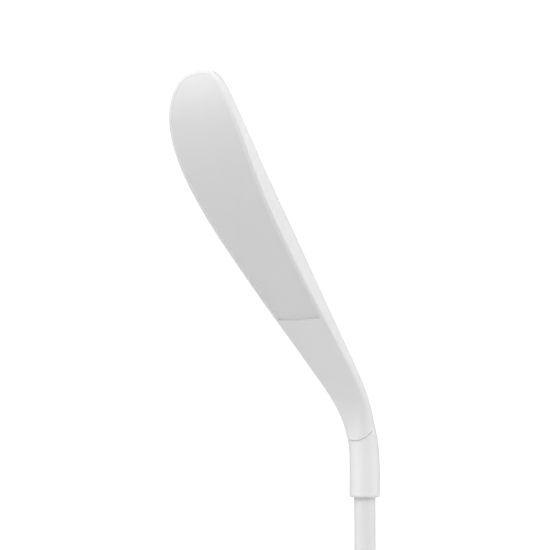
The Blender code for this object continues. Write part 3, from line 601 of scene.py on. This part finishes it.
def cover_space(seam, end):
    """The space for the front cover: in front of the seam and above the end plane, each moved a little."""
    space = plate(head_outline(20 * MM, -2 * MM, 97), on_head, lambda s: parting(s) + seam,
                  lambda s: half_thickness(s) + 5 * MM)
    keep_above(space, end)
    return space


shell = bevel_level(head_form(shell_front), CUFF_LOW, 0.9 * MM, 5)
cover_room = cover_space(0.0, -SEAM)
hollow = plate(head_outline(19.2 * MM, SHELL_WALL, 60, 30), on_head, inner_back,
               lambda s: max(parting(s) + MM, cuff_front(s, CUFF_RADIUS - SHELL_WALL)),
               lambda s: max(back_radius(s) - SHELL_WALL, 0.5 * MM),
               lambda s: max(front_radius(s) - SHELL_WALL, 0.5 * MM), 3)
bore = turned([(0, -1), (5.75, -1), (5.75, 0), (5.35, 0.4), (5.35, 19.6), (0, 19.6)],
              (0, ARM_Y, CUFF_LOW), 64, False)
screw_hole = turned([(0, 0), (1.4, 0), (1.4, 6.5), (1.8, 7.1), (1.8, 10), (0, 10)], steps=32, tube=False)
tipped(screw_hole, -90, (0, ARM_Y, CUFF_LOW + 15 * MM))
shell = cut(shell, cover_room, hollow, bore, screw_hole)
piece("back_shell", shell, "white_plastic", "head", ["head_shell"])

# %% [markdown]
# ## Front cover
#
# The cover is a thin moulding that drops onto the shell: a narrow flat rim round the diffuser and a
# rounded plate over the neck, which ends above the cuff. It is the part of the same form in front
# of the seam, hollowed, with the diffuser's window cut through it.

# %% Make the front cover
END_RADIUS = 0.8 * MM       # the cover's end is rounded, which leaves a fine groove over the cuff
LAP = 0.03 * MM             # the rim is bedded this deep on the diffuser
WINDOW_FILLET = 0.5 * MM    # hollow corner where the rim meets the diffuser


def trimmed_by_arc(bm, lower_end):
    """Cut the lower end of a plate to a shallow arc across the head."""
    half = half_width(lower_end)
    radius = (half ** 2 + WINDOW_BULGE ** 2) / (2 * WINDOW_BULGE)
    outline = [(-2 * half, -60 * MM), (2 * half, -60 * MM)]
    for i in range(33):
        x = 2 * half * (1 - i / 16)
        outline.append((x, radius - WINDOW_BULGE - math.sqrt(radius ** 2 - x ** 2)))
    tool = prism(outline, -15 * MM, 15 * MM)
    lean = lean_at(lower_end)
    turn = Matrix(((1, 0, 0), (0, -math.sin(lean), -math.cos(lean)), (0, math.cos(lean), -math.sin(lean))))
    bmesh.ops.rotate(tool, cent=(0, 0, 0), matrix=turn, verts=tool.verts)
    bmesh.ops.translate(tool, verts=tool.verts, vec=on_head(lower_end, 0, 0))
    return cut(bm, tool)


def round_end(bm, radius, steps=4):
    """Draw the flat end of the cover further down the neck in steps, each a little smaller."""
    lean = math.radians(COVER_SLOPE)
    end = min(bm.faces, key=lambda face: (face.normal - Vector((0, math.sin(lean), -math.cos(lean)))).length)
    neck = lean_at(COVER_END)
    down = Vector((0, math.sin(neck), -math.cos(neck))) / math.cos(lean - neck)
    turns = [math.radians(90) * i / steps for i in range(steps + 1)]
    for before, after in zip(turns, turns[1:]):
        bmesh.ops.inset_individual(bm, faces=[end], thickness=radius * (math.cos(before) - math.cos(after)),
                                   depth=0, use_even_offset=True)
        bmesh.ops.translate(bm, verts=end.verts, vec=down * radius * (math.sin(after) - math.sin(before)))


cover = combine(head_form(half_thickness), cover_space(SEAM, END_RADIUS), "INTERSECT")
round_end(cover, END_RADIUS)
cover_hollow = plate(head_outline(18 * MM, SHELL_WALL, 60, 30), on_head, inner_back,
                     lambda s: rim_underside(s) - LAP,
                     front_edge=lambda s: max(front_radius(s) - SHELL_WALL, 0.5 * MM), bends=4)
window = plate(head_outline(WINDOW_START - 4 * MM, RIM_WIDTH - 0.5 * WINDOW_FILLET, 40), on_head,
               lambda s: rim_underside(s) - 2 * LAP, lambda s: half_thickness(s) + 3 * MM,
               lambda s: min(WINDOW_FILLET, 0.8 * cover_thickness(s)), bends=4)
cover = cut(cover, cover_hollow, trimmed_by_arc(window, WINDOW_START))
piece("front_cover", cover, "white_plastic", "head", ["head_front_cover"])

# %% [markdown]
# ## Diffuser
#
# A frosted sheet sits behind the rim. It is almost level with the rim at the tip and over a
# millimetre below it at the neck end, where the step throws a soft shadow.

# %% Make the diffuser
diffuser = plate(head_outline(WINDOW_START - 6 * MM, RIM_WIDTH - 0.6 * MM, 50), on_head,
                 lambda s: rim_underside(s) - 1.05 * MM, rim_underside)
piece("diffuser_sheet", trimmed_by_arc(diffuser, WINDOW_START - 2 * MM), "diffuser", "head", ["diffuser"])

# %% Set screw in the back of the cuff
def polygon(radius, sides, turn=0):
    """Corners of a regular polygon, in metres."""
    angles = [math.radians(turn) + math.tau * i / sides for i in range(sides)]
    return [(radius * math.cos(angle), radius * math.sin(angle)) for angle in angles]


set_screw = turned([(0, 5.2), (0.9, 5.2), (1.2, 5.5), (1.2, 6.5), (1.0, 6.7), (0, 6.7)], steps=32, tube=False)
set_screw = cut(set_screw, prism(polygon(0.7 * MM, 6), 5.9 * MM, 7 * MM))
tipped(set_screw, -90, (0, ARM_Y, CUFF_LOW + 15 * MM))
piece("cuff_set_screw", set_screw, "steel", "head", ["set_screw"])

# %% [markdown]
# ## Flexible arm
#
# Inside the arm is a wound steel hose that holds any bend, and over it a smooth silicone sleeve.
# The frame bends it at eight hinges, and a tube can only bend between two bodies. So each layer is
# made in lengths, from the middle of one link to the middle of the next, where nothing bends and
# their ends don't show.

# %% Make the sleeve, the hose and the lead
def layered_tube(low, high, inner, outer, rise, steps):
    """A tube, or a rod if inner is None, with a ring every rise or so; radii in mm go by height."""
    count = max(2, round((high - low) / rise))
    heights = [low + (high - low) * i / count for i in range(count + 1)]
    profile = [(outer(z), z / MM) for z in heights]
    if inner:
        profile += [(inner, z / MM) for z in reversed(heights)]
    else:
        profile = [(0, low / MM)] + profile + [(0, high / MM)]
    return turned(profile, (0, ARM_Y, 0), steps, bool(inner))


def sleeve_radius(z):
    """The sleeve swells by a tenth of a millimetre where it is pushed into the cuff and the collar."""
    reach = min(abs(CUFF_LOW - z), abs(z - COLLAR_TOP))
    return 4.93 + 0.1 * math.exp(-reach / (8 * MM))


def hose_radius(z):
    """Turns of the steel hose, 1.6 mm apart."""
    return 3.22 + 0.15 * math.cos(math.tau * z / (1.6 * MM))


LEAD_RADIUS = 1.1 * MM
LEAD_LOW = COLLAR_TOP - 20 * MM
LEAD_HIGH = CUFF_LOW + 18 * MM
sleeve_low, sleeve_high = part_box("arm_sleeve_1")[0].z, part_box("arm_sleeve_9")[1].z
hose_low, hose_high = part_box("arm_core_1")[0].z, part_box("arm_core_9")[1].z
LAYERS = [
    ("sleeve", "silicone", 3.78, sleeve_radius, 0.8 * MM, 64, sleeve_low, sleeve_high, "arm_sleeve"),
    ("hose", "steel", 1.62, hose_radius, 0.4 * MM, 32, hose_low, hose_high, "arm_core"),
    ("lead", "cable_jacket", None, level(LEAD_RADIUS / MM), MM, 16, LEAD_LOW, LEAD_HIGH, None),
]
for name, finish, inner, outer, rise, steps, bottom, top, solids in LAYERS:
    for i, pivot in enumerate(PIVOTS):
        start, end = pivot - PITCH / 2, pivot + PITCH / 2
        low = bottom if i == 0 else start
        high = top if pivot == PIVOTS[-1] else end
        count = 2 if pivot == PIVOTS[-1] else 1
        nodes = [f"{solids}_{i + 1 + extra}" for extra in range(count)] if solids else []
        tube = layered_tube(low, high, inner, outer, rise, steps)
        bend_piece(f"{name}_{i + 1}", tube, finish,
                   nodes)

# %% [markdown]
# ## Lead below and above the arm
#
# The lead's two ends are left: from the control board up into the hose, and from the cuff along the
# neck to the LED board. Each is a round wire along a smooth route and stays on one body.

# %% Make the ends of the lead
def wire_along(points, radius, sides=16):
    """A round wire through points: a circle carried along the route and bridged to the next."""
    bm = bmesh.new()
    across = Vector((1, 0, 0))
    rows = []
    for i, point in enumerate(points):
        before, after = points[max(i - 1, 0)], points[min(i + 1, len(points) - 1)]
        forward = (after - before).normalized()
        across = (across - forward * across.dot(forward)).normalized()
        upward = forward.cross(across)
        ring = bmesh.ops.create_circle(bm, cap_ends=False, segments=sides, radius=radius)["verts"]
        turn = Matrix((across, upward, forward)).transposed()
        bmesh.ops.rotate(bm, cent=(0, 0, 0), matrix=turn, verts=ring)
        bmesh.ops.translate(bm, verts=ring, vec=point)
        rows.append(ring)
    for first, second in zip(rows, rows[1:]):
        bridge(bm, first, second, True)
    for row in (rows[0], rows[-1]):
        bm.faces.new(row)
    bmesh.ops.recalc_face_normals(bm, faces=bm.faces)
    return bm


def smooth_route(corners, spacing):
    """Points about a spacing apart on a smooth curve through a few corner points."""
    places = [Vector(corner) for corner in corners]
    ends = [2 * places[0] - places[1]] + places + [2 * places[-1] - places[-2]]
    points = []
    for before, start, stop, after in zip(ends, ends[1:], ends[2:], ends[3:]):
        count = max(1, round((stop - start).length / spacing))
        for i in range(count):
            t = i / count
            points.append(0.5 * (2 * start + (stop - before) * t
                                 + (2 * before - 5 * start + 4 * stop - after) * t ** 2
                                 + (3 * start - before - 3 * stop + after) * t ** 3))
    return points + [places[-1]]


lead_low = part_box("arm_cable")[0]
lie = lead_low.z + LEAD_RADIUS
bend = 5 * MM
corners = [(0, ARM_Y + 13 * MM, lie), (0, ARM_Y + 9 * MM, lie), (0, ARM_Y + bend, lie)]
for turn in (30, 60):
    angle = math.radians(turn)
    corners.append((0, ARM_Y + bend * (1 - math.sin(angle)), lie + bend * (1 - math.cos(angle))))
corners += [(0, ARM_Y, lie + bend), (0, ARM_Y, LEAD_LOW + 0.5 * MM)]
lead = wire_along(smooth_route(corners, MM), LEAD_RADIUS)
piece("lead_from_board", lead, "cable_jacket", "base", ["arm_cable"])
corners = [Vector((0, ARM_Y, LEAD_HIGH - 0.5 * MM))]
corners += [on_head(place, 0, -0.2 * MM) for place in np.linspace(24 * MM, 102 * MM, 27)]
piece("lead_to_leds", wire_along(smooth_route(corners, 2 * MM), LEAD_RADIUS), "cable_jacket", "head")

# %% [markdown]
# ## Housing of the clip
#
# The arm stands on a two-part housing that holds the battery and the control board, screwed
# together from below. A tongue on the tray fills the gap between the halves, so that light doesn't
# shine through, and the gap's edges are broken by a tiny radius.

# %% Outlines for the flat plates
def half_outline(half_x, y_low, y_high, radius, spacing=1.5 * MM, steps=14):
    """Right half of a rounded rectangle from the middle of its front to the middle of its rear."""
    turns = [math.radians(90) * i / steps for i in range(steps + 1)]
    points = [(y_low, 0.0, 1.0, 0.0)]
    for turn in turns:
        points.append((y_low + radius * (1 - math.cos(turn)), half_x - radius * (1 - math.sin(turn)),
                       math.cos(turn), -math.sin(turn)))
    count = max(2, round((y_high - y_low - 2 * radius) / spacing))
    points += [(y, half_x, 0.0, -1.0) for y in np.linspace(y_low + radius, y_high - radius, count + 1)[1:-1]]
    for turn in reversed(turns):
        points.append((y_high - radius * (1 - math.cos(turn)), half_x - radius * (1 - math.sin(turn)),
                       -math.cos(turn), -math.sin(turn)))
    return points + [(y_high, 0.0, -1.0, 0.0)]


def flat(y, x, rise):
    return Vector((x, y, rise))


def housing(inset, low, high, low_edge=None, high_edge=None, bends=6):
    """A slab of the housing's outline, moved inwards."""
    outline = half_outline(HALF_WIDTH - inset, HOUSING_FRONT + inset, HOUSING_REAR - inset,
                           HOUSING_CORNER - inset, 6 * MM)
    edges = [level(edge) if edge else None for edge in (low_edge, high_edge)]
    return plate(outline, flat, level(low), level(high), edges[0], edges[1], bends)


def hole(radius, low, high, place, chamfer=0.25, steps=64):
    """Cutter for a round hole, with a fine chamfer where it comes out at the top, in mm."""
    profile = [(0, low), (radius, low), (radius, high - chamfer), (radius + chamfer, high),
               (radius + chamfer, high + 2), (0, high + 2)]
    return turned(profile, place, steps, False)


HOUSING_CORNER = 15 * MM
SPLIT_Z = COVER_LOW_Z - 0.3 * MM
WALL = 2 * MM
TONGUE = 1.0 * MM           # how far the tongue reaches above the gap
SCREW_PLACES = [(x, y) for y in (-17 * MM, 59 * MM) for x in (-15 * MM, 15 * MM)]
BUTTON_Y = (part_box("power_button")[0].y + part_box("power_button")[1].y) / 2
LENS_Y = (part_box("indicator_lens")[0].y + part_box("indicator_lens")[1].y) / 2
print(f"housing split at z = {SPLIT_Z / MM:.1f} mm, button at y = {BUTTON_Y / MM:.1f} mm")

# %% Make the tray with its ears
def side_bevel(bm, width, segments):
    """Round off the edges of a prism's two end faces."""
    edges = [edge for edge in bm.edges if abs(edge.verts[0].co.x - edge.verts[1].co.x) < 0.001 * MM]
    return bevel_edges(bm, edges, width, segments)


def eye_outline(radius, foot, from_below, steps=32):
    """Side view of a lug: an arc round the hinge pin on a foot given as a list of (y, z)."""
    arc = []
    for i in range(steps + 1):
        angle = math.radians(195 + 150 * i / steps if from_below else 165 - 150 * i / steps)
        arc.append((HINGE_Y + radius * math.cos(angle), HINGE_Z + radius * math.sin(angle)))
    return foot[:1] + arc + foot[1:]


def hinge_hole():
    return rod(1.65, -30, 30, (0, HINGE_Y, HINGE_Z), 32, "X")


tray = add(housing(0.0, TRAY_LOW_Z, SPLIT_Z, 1.5 * MM, 0.25 * MM),
           housing(1.15 * MM, 5 * MM, SPLIT_Z + TONGUE))
tray = cut(tray, housing(WALL, TRAY_LOW_Z + 2.2 * MM, SPLIT_Z + 5 * MM))
ear = eye_outline(6 * MM, [(22 * MM, 3.5 * MM), (46 * MM, 3.5 * MM)], True)
for side in (-1, 1):
    low, high = sorted((side * 15.5 * MM, side * 18.5 * MM))
    tray = add(tray, side_bevel(prism(ear, low, high, "X"), 0.5 * MM, 3))
for x, y in SCREW_PLACES:
    tray = add(tray, rod(3.6, 3.5, 9, (x, y, 0), 32))
    seat = [(0, 0), (3.1, 0), (3.1, 2.3), (2.7, 2.7), (2.7, 6), (1.45, 6), (1.45, 10), (0, 10)]
    tray = cut(tray, turned(seat, (x, y, 0), 32, False))
for x in (-8.5 * MM, 8.5 * MM):
    tray = cut(add(tray, rod(2.4, 3.5, 13.2, (x, 48 * MM, 0), 32)), rod(1.0, 7, 15, (x, 48 * MM, 0), 24))
piece("housing_tray", cut(tray, hinge_hole()), "white_plastic", "base", ["base_tray"])

# %% Make the cover
cover = housing(0.0, COVER_LOW_Z, COVER_TOP_Z, 0.25 * MM, 5 * MM, 12)
cover = cut(cover, housing(WALL, 5 * MM, COVER_TOP_Z - 2.2 * MM, None, 3.5 * MM))
cover = cut(cover, housing(1.0 * MM, 5 * MM, SPLIT_Z + TONGUE + 0.2 * MM))
for x, y in SCREW_PLACES:
    cover = cut(add(cover, rod(3.1, 9.3, 23.4, (x, y, 0), 32)), rod(1.3, 8, 18.5, (x, y, 0), 24))
socket_low, socket_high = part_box("usb_socket")
slot_height = socket_high.z - socket_low.z + 0.7 * MM
port = prism(rounded_outline(socket_high.x + 0.35 * MM, 0, slot_height, 1.6 * MM), -5 * MM, 5 * MM)
tipped(port, 90, (0, HOUSING_REAR, socket_low.z - 0.35 * MM))
top = COVER_TOP_Z / MM
cover = cut(cover, hole(6.3, 20, top, (0, ARM_Y, 0), 0.1, 96), hole(6.25, 20, top, (0, BUTTON_Y, 0), 0.3, 96),
            hole(1.45, 20, top, (0, LENS_Y, 0), 0.2, 32), port)
piece("housing_cover", cover, "white_plastic", "base", ["base_cover"])

# %% [markdown]
# ## Collar, button and light pipe
#
# These are all turned shapes, so each is a profile spun round its own axis. The button's top is
# dished for a fingertip, with a raised ring to find it by in the dark.

# %% Turn the collar, the button and the light pipe
collar = turned([(3.6, 18.5), (6.0, 18.5), (6.0, 25.05), (7.8, 25.05), (8.0, 25.25), (8.0, 25.8), (7.8, 26.2),
                 (7.3, 26.7), (7.05, 27.3), (7.0, 28.2), (7.0, 41.9), (6.95, 42.35), (6.75, 42.75),
                 (6.4, 42.97), (6.2, 43.0), (5.7, 43.0), (5.45, 42.9), (5.35, 42.65), (5.35, 21.5), (3.6, 21.5)],
                (0, ARM_Y, 0), 96)
piece("collar", collar, "white_plastic", "base", ["arm_collar"])
button = turned([(0, 19.6), (2, 19.6), (2, 21), (7.3, 21), (7.3, 22.3), (6.0, 22.3), (6.0, 25.3),
                 (5.93, 25.62), (5.75, 25.87), (5.45, 26.0), (5.15, 25.98), (4.85, 25.86), (4.2, 25.72),
                 (2.8, 25.55), (1.4, 25.46), (0, 25.44)], (0, BUTTON_Y, 0), 96, False)
piece("button_cap", button, "white_plastic", "button", ["power_button"], 50)
pipe = turned([(0, 20.8), (1.7, 20.8), (1.7, 22.2), (1.2, 22.2), (1.2, 24.75), (1.05, 24.95),
               (0.7, 25.06), (0, 25.1)], (0, LENS_Y, 0), 32, False)
piece("light_pipe", pipe, "indicator_lens", "base", ["indicator_lens"])

# %% Lock nut and ferrules, out of sight under the cover and in the cuff
nut = prism(polygon(9 * MM, 6), 18.9 * MM, 22.4 * MM)
for height in (18.9 * MM, 22.4 * MM):
    bevel_level(nut, height, 0.4 * MM, 2)
bmesh.ops.translate(nut, verts=nut.verts, vec=(0, ARM_Y, 0))
piece("collar_nut", cut(nut, rod(6.3, 15, 25, (0, ARM_Y, 0))), "steel", "base", ["lock_nut"])
for name, node, body in (("ferrule_low", "lower_ferrule", "base"), ("ferrule_high", "upper_ferrule", "head")):
    low, high = (corner.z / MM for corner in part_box(node))
    crimp = [(4.7, low + 2.2), (4.7, low + 2.8), (5.05, low + 3.1)]
    profile = [(3.55, low), (4.85, low), (5.05, low + 0.2), (5.05, low + 1.9)] + crimp
    profile += [(5.05, high - 0.2), (4.85, high), (3.55, high)]
    piece(name, turned(profile, (0, ARM_Y, 0)), "steel", body, [node])

# %% [markdown]
# ## Charging socket
#
# The socket is a folded steel shell, cut from a rounded bar, with a black plastic tongue in it.

# %% Make the socket
middle_y = (socket_low.y + socket_high.y) / 2
half_depth = (socket_high.y - socket_low.y) / 2
height = socket_high.z - socket_low.z
can = prism(rounded_outline(socket_high.x, 0, height, 1.3 * MM), -half_depth, half_depth)
bevel_level(can, -half_depth, 0.15 * MM, 2)
mouth = rounded_outline(socket_high.x - 0.3 * MM, 0.3 * MM, height - 0.3 * MM, 1.0 * MM)
can = cut(can, prism(mouth, -half_depth - MM, half_depth - 1.4 * MM))
piece("socket_can", tipped(can, 90, (0, middle_y, socket_low.z)), "steel", "base", ["usb_socket"])
tongue = prism(rounded_outline(3.2 * MM, 1.25 * MM, 1.95 * MM, 0.2 * MM, 4), -3.2 * MM, half_depth - 1.3 * MM)
bevel_level(tongue, -3.2 * MM, 0.12 * MM, 2)
piece("socket_tongue", tipped(tongue, 90, (0, middle_y, socket_low.z)), "black_plastic", "base")

# %% [markdown]
# ## Moving jaw
#
# The jaw is a plate with a soft hump under the hinge and a handle behind it. Its side view is a
# smooth curve and all its edges are rounded for the hand. Two lugs carry it on the pin, and five
# ribs under the handle stop a thumb from slipping.

# %% Make the moving jaw
JAW_PROFILE = np.array([    # y and height over the level part, in mm
    (-28, 0), (12, 0), (14, 0.1), (22, 1.4), (29, 3.2), (36, 3.9), (43, 3.4), (52, 1.4), (62, -1.6),
    (74, -5.4)])
jaw_low, jaw_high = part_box("jaw_lower")
JAW_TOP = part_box("lower_jaw_pad")[0].z - 0.3 * MM
JAW_PLATE = 3 * MM


def jaw_top(y):
    return JAW_TOP + smooth_value(JAW_PROFILE[:, 0], JAW_PROFILE[:, 1], y / MM) * MM


jaw = plate(half_outline(jaw_high.x, jaw_low.y, jaw_high.y, 13 * MM), flat,
            lambda y: jaw_top(y) - JAW_PLATE, jaw_top, level(MM), level(MM), 5)
foot = [(14 * MM, JAW_TOP - 1.2 * MM), (56 * MM, JAW_TOP - 1.6 * MM), (43 * MM, JAW_TOP + 1.9 * MM),
        (29 * MM, JAW_TOP + 1.6 * MM)]
for side in (-1, 1):
    low, high = sorted((side * 11.5 * MM, side * 14.7 * MM))
    jaw = add(jaw, side_bevel(prism(eye_outline(5 * MM, foot, False), low, high, "X"), 0.3 * MM, 2))
ribs = bmesh.new()
for i in range(5):
    y = (52 + 3.6 * i) * MM
    rib = turned([(0, -11.6), (0.42, -11.42), (0.6, -11), (0.6, 11), (0.42, 11.42), (0, 11.6)],
                 (0, y, jaw_top(y) - JAW_PLATE + 0.2 * MM), 24, False, "X")
    spare = mesh_from("rib", rib)
    ribs.from_mesh(spare)
    bpy.data.meshes.remove(spare)
piece("jaw", cut(add(jaw, ribs), hinge_hole()), "white_plastic", "jaw", ["jaw_lower"])

# %% [markdown]
# ## Rubber pads
#
# Both jaws grip through a soft pad with fine grooves across it, because a grooved pad bites on a
# shelf's edge. The crests stay on the gripping plane.

# %% Make the pads
GROOVES = 9
GROOVE_PITCH = 3.4 * MM
PADS = [("pad_up", "upper_jaw_pad", "base", False), ("pad_low", "lower_jaw_pad", "jaw", True)]
for name, node, body, face_up in PADS:
    low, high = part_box(node)
    seat = 0.25 * MM
    bottom, top = (low.z - seat, high.z) if face_up else (low.z, high.z + seat)
    pad = plate(half_outline(high.x, low.y, high.y, 9 * MM), flat, level(bottom), level(top),
                level(0.4 * MM), level(0.4 * MM), 4)
    grooves = bmesh.new()
    for i in range(GROOVES):
        y = (low.y + high.y) / 2 + (i - (GROOVES - 1) / 2) * GROOVE_PITCH
        end = bmesh.ops.create_circle(grooves, cap_ends=True, segments=16, radius=0.5 * MM,
                                      matrix=Matrix.Rotation(math.radians(90), 4, "Y"))["verts"]
        bmesh.ops.translate(grooves, verts=end, vec=(-20 * MM, y, top if face_up else bottom))
        pushed = bmesh.ops.extrude_face_region(grooves, geom=list(end[0].link_faces))
        moved = [item for item in pushed["geom"] if isinstance(item, bmesh.types.BMVert)]
        bmesh.ops.translate(grooves, verts=moved, vec=(40 * MM, 0, 0))
    bmesh.ops.recalc_face_normals(grooves, faces=grooves.faces)
    piece(name, cut(pad, grooves), "pad_rubber", body, [node])

# %% [markdown]
# ## Hinge pin, clips and spring
#
# The spring is one wire: a leg under the tray, five and a half turns round the pin, and a leg on
# the handle. The wire is made in one piece and fastened to no body.

# %% Make the pin and its clips
pin = turned([(0, -20.4), (1.1, -20.4), (1.5, -20.0), (1.5, -19.65), (1.2, -19.65), (1.2, -18.75),
              (1.5, -18.75), (1.5, 18.75), (1.2, 18.75), (1.2, 19.65), (1.5, 19.65), (1.5, 20.0),
              (1.1, 20.4), (0, 20.4)],
             (0, HINGE_Y, HINGE_Z), 48, False, "X")
piece("pin", pin, "steel", "base", ["hinge_pin"])
for name, node in (("pin_clip_left", "retaining_ring_left"), ("pin_clip_right", "retaining_ring_right")):
    low, high = (corner.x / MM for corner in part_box(node))
    profile = [(1.3, low), (3.25, low), (3.4, low + 0.15), (3.4, high - 0.15), (3.25, high), (1.3, high)]
    clip = turned(profile, (0, HINGE_Y, HINGE_Z), 48, True, "X")
    slot = [(HINGE_Y - 1.05 * MM, HINGE_Z), (HINGE_Y + 1.05 * MM, HINGE_Z),
            (HINGE_Y + 1.3 * MM, HINGE_Z - 5 * MM), (HINGE_Y - 1.3 * MM, HINGE_Z - 5 * MM)]
    piece(name, cut(clip, prism(slot, -30 * MM, 30 * MM, "X")), "steel", "base", [node])

# %% Wind the spring
WIRE = 0.7 * MM
COIL = 3.0 * MM
SPRING_HALF = 6.6 * MM
TURNS = 5.5
tray_leg = [(-SPRING_HALF, 52 * MM, TRAY_LOW_Z - 0.3 * MM - WIRE), (-SPRING_HALF, 42 * MM, -2.6 * MM)]
handle_leg = [(SPRING_HALF, 42 * MM, -16 * MM), (SPRING_HALF, 50 * MM, JAW_TOP + 2.2 * MM + WIRE)]
points = smooth_route(tray_leg, 2 * MM)
count = int(TURNS * 28)
for i in range(count + 1):
    angle = math.radians(90) + math.tau * TURNS * i / count
    x = -SPRING_HALF + 2 * SPRING_HALF * i / count
    points.append(Vector((x, HINGE_Y + COIL * math.cos(angle), HINGE_Z + COIL * math.sin(angle))))
points += smooth_route(handle_leg, 2 * MM)
bend_piece("spring", wire_along(points, WIRE, 12), "steel",
           ["torsion_spring"])

# %% [markdown]
# ## Screws
#
# Four screws hold the housing together. Each is a turned profile with ridges for its thread and a
# cross recess. The heads sit deep in the tray, clear of a shelf.

# %% Make the screws
CORNER_SIGNS = ((-1, -1), (1, -1), (1, 1), (-1, 1))
ridges = [(radius, 6.2 + 0.8 * i + rise) for i in range(12) for radius, rise in ((1.15, 0.0), (0.95, 0.4))]
screw_head = [(0, 4.2), (1.1, 4.22), (1.75, 4.35), (2.1, 4.65), (2.2, 5.05), (2.2, 5.7), (1.15, 5.7)]
screw_profile = screw_head + ridges + [(1.0, 16.5), (0, 17.5)]
for i, (x, y) in enumerate(SCREW_PLACES):
    screw = turned(screw_profile, (x, y, 0), 32, False)
    for long_x, long_y in ((1.2, 0.28), (0.28, 1.2)):
        corners = [(x + sx * long_x * MM, y + sy * long_y * MM) for sx, sy in CORNER_SIGNS]
        screw = cut(screw, prism(corners, 3 * MM, 5.1 * MM))
    piece(f"tray_screw_{i + 1}", screw, "steel", "base", [f"base_screw_{i + 1}"])

# %% [markdown]
# ## Light, floor and camera
#
# Pale objects on a white ground need light from almost everywhere, or their shaded sides turn grey.
# A white world gives the base light, and large soft panels above and beside the lamp shape it: the
# upright tip is the brightest part, and the face that leans over the table is a soft grey.

# %% Floor and white world
FLOOR_RADIUS = 1.6          # metres
WORLD_FILL = 0.125          # strength of the white world as a light
WORLD_BEHIND = 1.05         # and as the ground behind the lamp
floor = bmesh.new()
bmesh.ops.create_circle(floor, cap_ends=True, segments=128, radius=FLOOR_RADIUS)
bmesh.ops.translate(floor, verts=floor.verts, vec=(0, 0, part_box("jaw_lower")[0].z - 2 * MM))
floor_obj = linked("floor", mesh_from("floor", floor))
floor_obj.data.materials.append(grained("pale_floor", grey(0.86), grey(0.88), (0.8, 0.9), 300.0, 0.1, 0.0001))

world = bpy.data.worlds.new("white_studio")
world.use_nodes = True
bpy.context.scene.world = world
tree = world.node_tree
tree.nodes.clear()
path = tree.nodes.new("ShaderNodeLightPath")
mix = tree.nodes.new("ShaderNodeMixShader")
tree.links.new(path.outputs["Is Camera Ray"], mix.inputs[0])
for i, strength in ((1, WORLD_FILL), (2, WORLD_BEHIND)):
    white = tree.nodes.new("ShaderNodeBackground")
    white.inputs["Color"].default_value = (1, 1, 1, 1)
    white.inputs["Strength"].default_value = strength
    tree.links.new(white.outputs[0], mix.inputs[i])
out = tree.nodes.new("ShaderNodeOutputWorld")
tree.links.new(mix.outputs[0], out.inputs["Surface"])

# %% Soft panels
def aimed(obj, place, forward):
    """Put a light or a camera in its place, looking along a direction."""
    obj.location = place
    obj.rotation_mode = "QUATERNION"
    obj.rotation_quaternion = forward.to_track_quat("-Z", "Y")
    return obj


def soft_panel(name, place, power):
    """A square area light at a place, turned to the head."""
    data = bpy.data.lights.new(name, "AREA")
    data.shape = "SQUARE"
    data.size = PANEL_SIZE
    data.energy = power
    aimed(linked(name, data), place, Vector(HEAD_MIDDLE) - Vector(place))


PANEL_SIZE = 1.2            # metres
HEAD_MIDDLE = (0, -0.03, 0.32)
PANELS = [
    # name, place in metres and power in watts
    ("panel_high_front", (0.87, -0.90, 1.49), 19.2),
    ("panel_high_left", (-0.85, -0.88, 1.52), 14.2),
    ("panel_right", (1.19, 1.16, 0.57), 11.3),
    ("panel_left", (-1.19, -1.22, 0.57), 2.0),
    ("panel_low_front", (0.0, -1.70, 0.43), 2.9),
    ("panel_high_back", (0.30, 1.25, 1.45), 4.0),
]
for name, place, power in PANELS:
    soft_panel(name, place, power)

# %% Camera
CAMERA_AZIMUTH = 45         # degrees from -Y towards +X
CAMERA_PITCH = 4.94         # degrees upwards
camera = bpy.data.cameras.new("camera")
camera.sensor_width = 36
camera.lens = 110.6
camera.clip_start = 0.01
camera.clip_end = 50
azimuth, pitch = math.radians(CAMERA_AZIMUTH), math.radians(CAMERA_PITCH)
forward = Vector((-math.sin(azimuth) * math.cos(pitch), math.cos(azimuth) * math.cos(pitch), math.sin(pitch)))
camera_obj = aimed(linked("camera", camera), (0.53836, -0.56230, 0.25474), forward)
bpy.context.scene.camera = camera_obj
bpy.context.scene.view_settings.view_transform = "Standard"
print("camera", [round(value, 3) for value in camera_obj.location])
